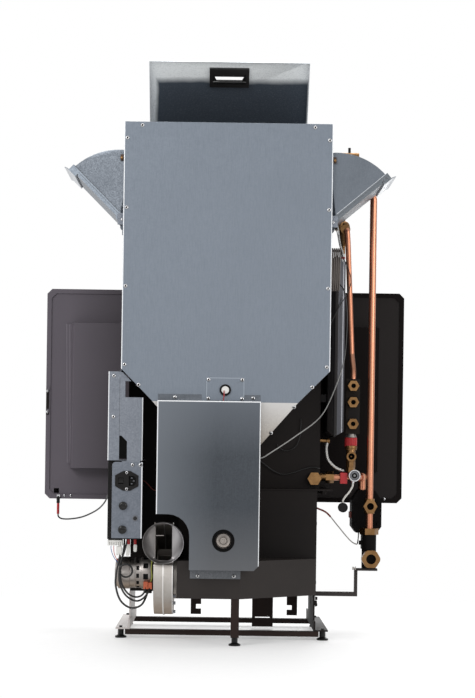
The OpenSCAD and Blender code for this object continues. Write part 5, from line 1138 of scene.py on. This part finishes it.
plugs = [plate("plug_a", comb(-284, -247, 238, 251.5, 7, 8), "y", -193, 22, white_plastic, 0.5),
         plate("plug_b", comb(-263, -249, 214, 236, 3, 4), "y", -192, 10, white_plastic, 0.5),
         plate("plug_neck", [(-258, 235), (-251, 235), (-251, 239), (-258, 239)], "y", -189, 6, white_plastic, 0.4),
         rounded_box("plug_seat", (-283, -192, 251), (-248, -172, 254.2), black_rubber, 0.5)]
for x, top, low, lean in ((-232, 241, 213, 2.5), (-216, 241, 223, 0)):
    plugs.append(lathe("sleeve_%d" % -x, [(2.6, 0), (3.6, 0.6), (3.6, 12.4), (2.6, 13.2)],
                       (x / 1000, -0.192, top / 1000), UP, red_plastic, 20))
    outline = [(-4.5, top - 2), (-4.2 - lean, low + 3), (-2.5 - lean, low), (2.5 - lean, low), (4.2 - lean, low + 3),
               (4.5, top - 2), (2.6, top + 1), (-2.6, top + 1)]
    plugs.append(plate("spade_%d" % -x, [(x + a, z) for a, z in outline], "y", -195, 6, white_plastic, 0.8))
loom_plugs = rides_with(joined("loom_plugs", plugs), "control_box")
print("loom plugs:", len(loom_plugs.data.polygons), "faces")

# %% [markdown]
# The inlet, its switch, the two screwed caps and the button are plastic parts in the plate. The caps have a knurled
# skirt, which is a plate with a toothed outline, and a turned dome with a slot for a coin.

# %% Inlet, switch, caps and button
inlet_screws = [(-237, -232.5, 378), (-237, -232.5, 418)]
pins, half_pin = (391, 398, 405), 1.2
dressed("power_inlet", [black_plastic, dull_steel], lambda c, n: (
    -232 < c.y < -228.9 and -228 < c.x < -217 and any(abs(c.z - z) < half_pin for z in pins)),
    keep=open_round(inlet_screws, head_clear, -232.4), bevel=0.4)
screws("inlet_screw_heads", inlet_screws, bright_steel, "power_inlet", radius=4.2, height=2.4)
dressed("rocker_switch", black_plastic, bevel=0.4)
button_x = -228
dressed("reset_caps", [black_plastic, dull_steel], lambda c, n: c.x > button_x,
        keep=lambda c, n: c.x > button_x or c.y > -229, bevel=0.4)
for number, (x, z) in enumerate(((-245, 337), (-246, 279))):
    teeth = [(x + r * math.cos(a), z + r * math.sin(a)) for k in range(24)
             for r, a in ((10.6, 2 * math.pi * k / 24), (9.8, 2 * math.pi * (k + 0.5) / 24))]
    knurl = plate("knurl", teeth, "y", -238, 8.5, gloss_black, 0.2)
    dome = lathe("dome", [(8.6, 0), (8.2, 1.2), (7, 1.9), (5.8, 2), (5.4, 1.2), (0.1, 1.0)],
                 (x / 1000, -0.238, z / 1000), BACK, gloss_black, 40)
    slot = rounded_box("slot", (x - 5, -239.6, z - 0.9), (x + 5, -238.6, z + 0.9), black_plastic, 0.2)
    rides_with(joined("knurled_cap_%d" % number, [knurl, dome, slot]), "reset_caps")
dressed("reset_button", gloss_black, bevel=0.8)
print("controls dressed")

# %% [markdown]
# ## Fume fan and flue
# The two halves of the volute are die-cast aluminium, with the dull skin of the mould. The motor hangs at its side.

# %% Fan
dressed("fan_volute", [volute_metal, black_paint], lambda c, n: c.z > 284, bevel=0.9, angle=40)
dressed("fan_motor", [motor_metal, black_plastic], lambda c, n: c.z < 130 and c.x > -200,
        keep=lambda c, n: c.z < 126 and c.x > -200 or c.x > -170, bevel=0.5, segments=1)
dressed("fan_impeller", steel, bevel=0)
dressed("flue_spigot", [flue_steel, black_paint], lambda c, n: c.y > -206 and not near(c, -146, 248, 50.5),
        bevel=0, flatten=False)
vane = plate("duct_vane", [(-166, 263), (-146, 263.4), (-146, 265.4), (-166, 265)], "y", -196, 18, motor_metal, 0.4)
rides_with(vane, "fan_volute")
print("fan dressed")

# %% [markdown]
# The motor is a turned aluminium can. Its cooling slots are cut by boxes that a node tree sets round the axis, and
# their insides are dark, partly for the windings and partly as painted shade. A ring of steps in the profile
# makes the joint between the two end shields.

# %% Slots round an axis
motor_y, motor_z = -138, 168


def slot_tree():
    tree, given = new_tree("slots_round_axis", ("Count", "Int", 10), ("Radius", "Float", 0.037), (
        "Length", "Float", 0.007), ("Width", "Float", 0.013), ("Depth", "Float", 0.012))
    ring = add_node(tree, "GeometryNodeMeshCircle", {"Vertices": given["Count"], "Radius": given["Radius"]}, "Mesh")
    size = add_node(tree, "ShaderNodeCombineXYZ", {"X": given["Depth"], "Y": given["Width"], "Z": given["Length"]})
    box = add_node(tree, "GeometryNodeMeshCube", {"Size": size}, "Mesh")
    spot = add_node(tree, "GeometryNodeInputPosition")
    aim = add_node(tree, "FunctionNodeAlignEulerToVector", {"Vector": spot}, axis="X")
    return end_tree(tree, given, ring, box, aim)


slot_group = slot_tree()


def slot_cutter(x, count, length, width, turn):
    """Boxes round the motor axis at x, in mm, as a plain mesh."""
    obj = grown("cutter", slot_group, [(0, 0, 0)], Count=count, Radius=0.039, Length=length / 1000,
                Width=width / 1000, Depth=0.014, Finish=black_rubber)
    lying, turned = Matrix.Rotation(math.pi / 2, 4, "Y"), Matrix.Rotation(math.radians(turn), 4, "Z")
    obj.data.transform(Matrix.Translation((x / 1000, motor_y / 1000, motor_z / 1000)) @ lying @ turned)
    return obj


print("slot tree has", len(slot_group.nodes), "nodes")

# %% [markdown]
# The can is one turned profile. Each row of slots is cut by a Boolean with its own ring of boxes, and the faces of
# the cuts get a dark finish by their distance from the axis, partly for the windings and partly as painted shade.

# %% Motor can
core_radius = 36.4
can = lathe("motor_can", [
    (12, 0), (13, 1.5), (30, 2), (34.2, 3.5), (35, 7), (35, 8), (39, 8.6), (40, 10), (40, 36.5), (39.4, 37.6),
    (37.4, 38), (37, 39), (37, 50), (37.6, 50.6), (37.6, 52.4), (37, 53), (37, 65), (37.4, 66), (39.4, 66.4),
    (40, 67.5), (40, 92), (38, 95), (37, 96)], (-0.268, motor_y / 1000, motor_z / 1000), RIGHT, motor_metal, 96)
can.data.materials.append(black_rubber)
for row in ((-210, 12, 7, 11, 8), (-190, 9, 12, 14, 0)):
    cutter = slot_cutter(*row)
    mod = can.modifiers.new("cut", "BOOLEAN")
    mod.object = cutter
    mod.solver = "EXACT"
    mesh = bpy.data.meshes.new_from_object(can.evaluated_get(bpy.context.evaluated_depsgraph_get()))
    can.modifiers.clear()
    can.data = mesh
    bpy.data.objects.remove(cutter)
# Painted shade, partly for the windings, inside the slots.
mark(can, black_rubber, lambda c: (-214.5 < c.x < -205.5 or -197 < c.x < -183) and math.hypot(
    c.y - motor_y, c.z - motor_z) < core_radius)
rides_with(smooth(can, 35), "fan_motor")
print("motor can:", len(can.data.polygons), "faces")

# %% [markdown]
# Two orange plugs bring the current to the motor. Their ribs come from the same comb outline as in the loom.

# %% Motor plugs
parts = [plate("plug_c", comb(-195, -184, 131, 149, 2, 5), "y", -186, 24, orange_plastic, 0.6),
         plate("plug_d", comb(-183, -174, 131, 147, 2, 5), "y", -186, 24, orange_plastic, 0.6),
         rounded_box("plug_foot", (-193, -182, 126), (-177, -166, 132), black_rubber, 0.6)]
rides_with(joined("motor_plugs", parts), "fan_motor")
print("motor plugs in place")

# %% [markdown]
# ## Water side
# Copper, brass and a black strip with three ports run down the right side.

# %% Water side
ring_x, ring_z, ports = 335, 416, (646, 604, 548.5)
fitting_bores = (376, 338, 9.1, -38), (378, 204, 12.6, -53)
# The right shell takes the lit finish with its painted highlights.
dressed("expansion_vessel", [vessel_paint, vessel_rim], lambda c, n: c.x > 288, bevel=2.5, segments=3)
dressed("copper_pipes", [copper, tinned], lambda c, n: c.x < 340 and 678 < c.z < 742, bevel=0.0, angle=45)
# The bores of the fittings, the ports and the valve take painted shade.
dressed("brass_fittings", [brass, bore_dark, black_plastic, copper], lambda c, n: 2 if c.x > 305 and c.z > 1247 else (
    3 if 348 < c.x < 368 and 378 < c.z < 424 else (
        int(any(in_bore(c, n, *bore) for bore in fitting_bores)))), bevel=0.6, angle=35)
dressed("port_strip", [black_paint, brass, bore_dark], lambda c, n: (
    2 if any(in_bore(c, n, 329, z, 6, -32) for z in ports) else int(c.y < -18.2)), bevel=0.6)
dressed("safety_valve", [brass, steel, bore_dark], lambda c, n: 1 if c.z > 513.9 else (
    2 if in_bore(c, n, 326, 465, 8.1, -34) else 0), bevel=0.5)
dressed("valve_cap", red_plastic, bevel=0.3)
dressed("drain_tap", [red_plastic, bright_steel], lambda c, n: c.x >= 318,
        keep=lambda c, n: not (near(c, ring_x, ring_z, 16) and c.y < -20.9))
print("copper and brass dressed")

# %% [markdown]
# The valves carry turned trims: the bright union ring of the drain with its bore in painted shade, a collar and a
# hexagon nut under the red cap, and two short stubs.

# %% Trims of the valves and the pump
union_ring = lathe("union_ring", [
    (9, 0), (15.5, 0), (15.5, 8.8), (14.8, 10), (12.6, 10), (11.8, 9), (11.8, 6.5), (7, 6.5), (6.2, 5.5), (6.2, 1),
    (0.1, 1)], (ring_x / 1000, -0.021, ring_z / 1000), BACK, dull_steel)
mark(union_ring, bright_steel, lambda c: not near(c, ring_x, ring_z, 11.9))
mark(union_ring, bore_dark, lambda c: near(c, ring_x, ring_z, 6.3))
rides_with(union_ring, "drain_tap")
collar = lathe("valve_collar", [(12, 0), (15.2, 1), (15.6, 2), (15.6, 8), (15, 9), (12, 9.5)],
               (0.3265, -0.010, 0.4835), UP, brass)
lock_nut = hex_nut("valve_nut", 19, 13, (0.327, -0.012, 0.438), UP, brass)
rides_with(joined("valve_trim", [collar, lock_nut]), "safety_valve")
pin = lathe("valve_pin", [(1.6, 0), (2.1, 0.5), (2.1, 14), (1.4, 15)], (0.326, -0.012, 0.465), BACK, brass, 16)
stub = lathe("drain_stub", [(3.2, 0), (3.2, 5), (2.5, 5.4), (0.1, 5.4)], (ring_x / 1000, -0.0225, ring_z / 1000), BACK,
             grey_plastic, 24)
rides_with(pin, "safety_valve")
rides_with(stub, "drain_tap")
red_corner = rounded_box("pump_connector", (327, 28, 306), (334, 50, 322), wire_rust, 1.2)
rides_with(red_corner, "circulation_pump")
dressed("circulation_pump", [pump_black, arm_paint], lambda c, n: c.z < 178 and c.x < 348, bevel=1.0)
print("water side dressed")

# %% [markdown]
# ## Body, surround and door
# The boiler and the base are painted black. The front surround and its box have a smoother coat.

# %% Body
dressed("boiler_shell", black_paint, bevel=1.0)
dressed("base_body", [black_paint, low_box_paint], lambda c, n: c.y < -95, bevel=0.8)
for node, mat, bevel in (("shelf_flange", black_paint, 0.5),
                         ("stand_left", stand_paint, 0.5), ("stand_right", black_paint, 0.5),
                         ("stand_rails", bracket_brown, 0.5), ("levelling_feet", foot_black, 0.4),
                         ("hanging_brackets", bracket_brown, 0.5), ("ash_drawer", low_box_paint, 0.5),
                         ("firebox_liner", cast_iron, 0.6), ("burner_retort", cast_iron, 0.6),
                         ("burn_pot", cast_iron, 0.8), ("exchanger_tubes", steel, 0), ("tube_scraper", steel, 0.3)):
    dressed(node, mat, bevel=bevel)
bolts("body_bolts", [(232, -15, 291), (232, -15, 140)], black_paint, "base_body", 4.5, 4, 5, RIGHT)
bolts("volute_bolts", [(-121, -230, 102), (-121, -222, 80), (-121, -218, 118)], dull_steel, "fan_volute", 4, 4, 3,
      RIGHT)
bolts("arm_bolt", [(341, -30, 179)], steel, "circulation_pump", 3.8, 3.5, 5, (-1, 0, 0))
bolts("stand_bolts", [(236, -70, 104), (236, -70, 88)], black_paint, "stand_right", 4, 3.5, 2, RIGHT)
bolts("pump_bolts", [(x, 18, z) for z in (292, 344) for x in (342, 401)], pump_black, "circulation_pump", 3.4, 3, 1.5)
print("body dressed")

# %% [markdown]
# The surround is one frame with a box behind it. Its left part gets a lit, purple copy of the dark paint, a painted
# sheen that fades towards the right, while its right part and its front keep the dark paint, so the finish changes by
# place. The door has its own frame and a smoked glass.

# %% Surround and door
dark_from = 100
for node, soft in (("front_surround", 1.2), ("surround_rear_box", 1.5)):
    dressed(node, [surround_paint, surround_right], lambda c, n: c.x > dark_from or n.y > 0.3, bevel=soft)
dressed("fire_door_frame", black_paint, bevel=1.2)
dressed("fire_door_glass", glass, bevel=0.3)
print("door dressed")

# %% [markdown]
# The door's seal is a woven rope. A tube follows the rounded rectangle of its groove and is pressed to its depth.

# %% Seal of the door
low, high = (Vector(c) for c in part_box("door_gasket"))
half, arc, stride = 0.0057, 0.02, 0.012
middle = (low.y + high.y) / 2
ring = []
for x, z, start in ((low.x + half, low.z + half, 180), (high.x - half, low.z + half, 270),
                    (high.x - half, high.z - half, 0), (low.x + half, high.z - half, 90)):
    cx, cz = x + (arc if start in (90, 180) else -arc), z + (arc if start in (180, 270) else -arc)
    bend = [math.radians(start + k * 15) for k in range(7)]
    ring += [Vector((cx + arc * math.cos(a), middle, cz + arc * math.sin(a))) for a in bend]
ring = [ring[0].lerp(ring[-1], 0.5)] + ring + [ring[0].lerp(ring[-1], 0.5)]
path = []
for a, b in zip(ring, ring[1:]):
    steps = max(1, round((b - a).length / stride))
    path += [a.lerp(b, k / steps) for k in range(steps)]
gasket = tube("gasket_rope", path + [ring[-1]], 2 * half * 0.98, rope, 16)
for v in gasket.data.vertices:
    v.co.y = middle + (v.co.y - middle) * (high.y - low.y) / (2 * half)
rides_with(gasket, "door_gasket")
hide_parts("door_gasket")
print("seal laid, round", round(path_length(path), 2), "m")

# %% [markdown]
# The last steel is the door's handle. Small things sit on the surround: a side catch with its screws, a clip for
# the lead, and flat strips that stand for the lit edge of the box.

# %% Handle and small things on the surround
dressed("door_handle", bright_steel, bevel=1.0)
catch = rounded_box("side_catch", (-479.5, 183.8, 566), (-472, 186.2, 637), black_paint, 0.6)
rides_with(catch, "front_surround")
screws("catch_screws", [(-475.8, 183.8, 629.8), (-475.8, 183.8, 573.3)], bright_steel, "front_surround", 3.6, 2.2, 1.5)
screws("rim_screws", [(-426.8, 186, 349.3), (-409.8, 186, 349.5), (433.8, 186, 351.9)], bright_steel, "front_surround",
       3.6, 2.4, 1.5)
clip = rounded_box("lead_clip", (-447, 180.5, 345), (-438, 183, 352), bright_steel, 0.5)
rides_with(clip, "front_surround")
strip = plate("strip", [(-428, 812), (-409, 812), (-409, 436), (-421.5, 436)], "y", 184.6, 1.6, surround_paint, 0.3)
lines = [plate("line", [(x, 810), (x + 1.8, 810), (x + 8.1, 438), (x + 6.3, 438)], "y", 184.2, 0.8, surround_edge, 0.2)
         for x in (-427.6, -419.4)]
rides_with(joined("box_edge", [strip] + lines), "surround_rear_box")
print("surround dressed")

# %% [markdown]
# ## Floor, light and background
# The stove stands on a plain pale floor that fades to white with distance. The world is white only for what the
# camera sees directly and for reflections; the light itself comes softly from five area lamps and a grey sky.

# %% Floor
floor_mat, tree, shader, place = start_finish("pale_floor", (0.93, 0.93, 0.93), 0.0, 0.6)
distance = add_node(tree, "ShaderNodeVectorMath", {0: place}, "Value", operation="LENGTH")
speckle = ranged(tree, noise(tree, place, 40, 2), 0.4, 0.6)
feed(tree, shader.inputs["Base Color"], mixed(tree, speckle, (0.92, 0.92, 0.92), (0.94, 0.94, 0.935)))
blend = add_node(tree, "ShaderNodeMixShader", {
    "Fac": ranged(tree, distance, 0.5, 1.3, 0.38, 1), 1: shader.outputs[0], 2: add_node(tree, "ShaderNodeEmission")})
feed(tree, tree.nodes["Material Output"].inputs["Surface"], blend)
r, sunk = 12, -0.0005
floor = add_piece("floor", [(-r, -r, sunk), (r, -r, sunk), (r, r, sunk), (-r, r, sunk)], [(0, 1, 2, 3)], floor_mat)
print("floor laid")

# %% [markdown]
# A light path node tells what kind of ray asks. Rays from the camera, through glass and off a gloss see a white
# room, and all others see a sky of half that strength.

# %% World
world = bpy.data.worlds.new("studio")
bpy.context.scene.world = world
world.use_nodes = True
tree = world.node_tree
tree.nodes.clear()
white = (1, 1, 1, 1)
seen = None
for kind in ("Camera", "Transmission", "Glossy"):
    ray = add_node(tree, "ShaderNodeLightPath", out="Is %s Ray" % kind)
    seen = ray if seen is None else maths(tree, "MAXIMUM", seen, ray)
sky = add_node(tree, "ShaderNodeBackground", {"Strength": 0.5, "Color": white})
backdrop = add_node(tree, "ShaderNodeBackground", {"Color": white})
chosen = add_node(tree, "ShaderNodeMixShader", {"Fac": seen, 1: sky, 2: backdrop})
feed(tree, tree.nodes.new("ShaderNodeOutputWorld").inputs[0], chosen)
print("world set")

# %% [markdown]
# Five round area lamps light the stove: a key light at the left, a fill at the right, a faint one behind the camera,
# one from above, and one that reaches the far side, so that it reads from every angle.

# %% Lamps
for name, spot, target, size, watts in (("key", (-2.6, -3.6, 3.0), (0, 0, 0.7), 2.4, 106),
                                        ("fill", (3.0, -3.0, 1.6), (0, 0, 0.6), 2.6, 53),
                                        ("room", (0.4, -5.2, 1.0), (0, 0, 0.6), 2.4, 7),
                                        ("top", (0.2, 0.6, 3.8), (0, 0, 0.7), 2.8, 80),
                                        ("front", (0.6, 3.6, 2.4), (0, 0, 0.7), 2.6, 70)):
    data = bpy.data.lights.new(name, "AREA")
    data.shape = "DISK"
    data.size = size
    data.energy = watts
    lamp = placed(name, data)
    lamp.location = spot
    lamp.rotation_euler = (Vector(target) - Vector(spot)).to_track_quat("-Z", "Y").to_euler()
bpy.context.scene.view_settings.view_transform = "Standard"
print("lamps lit")
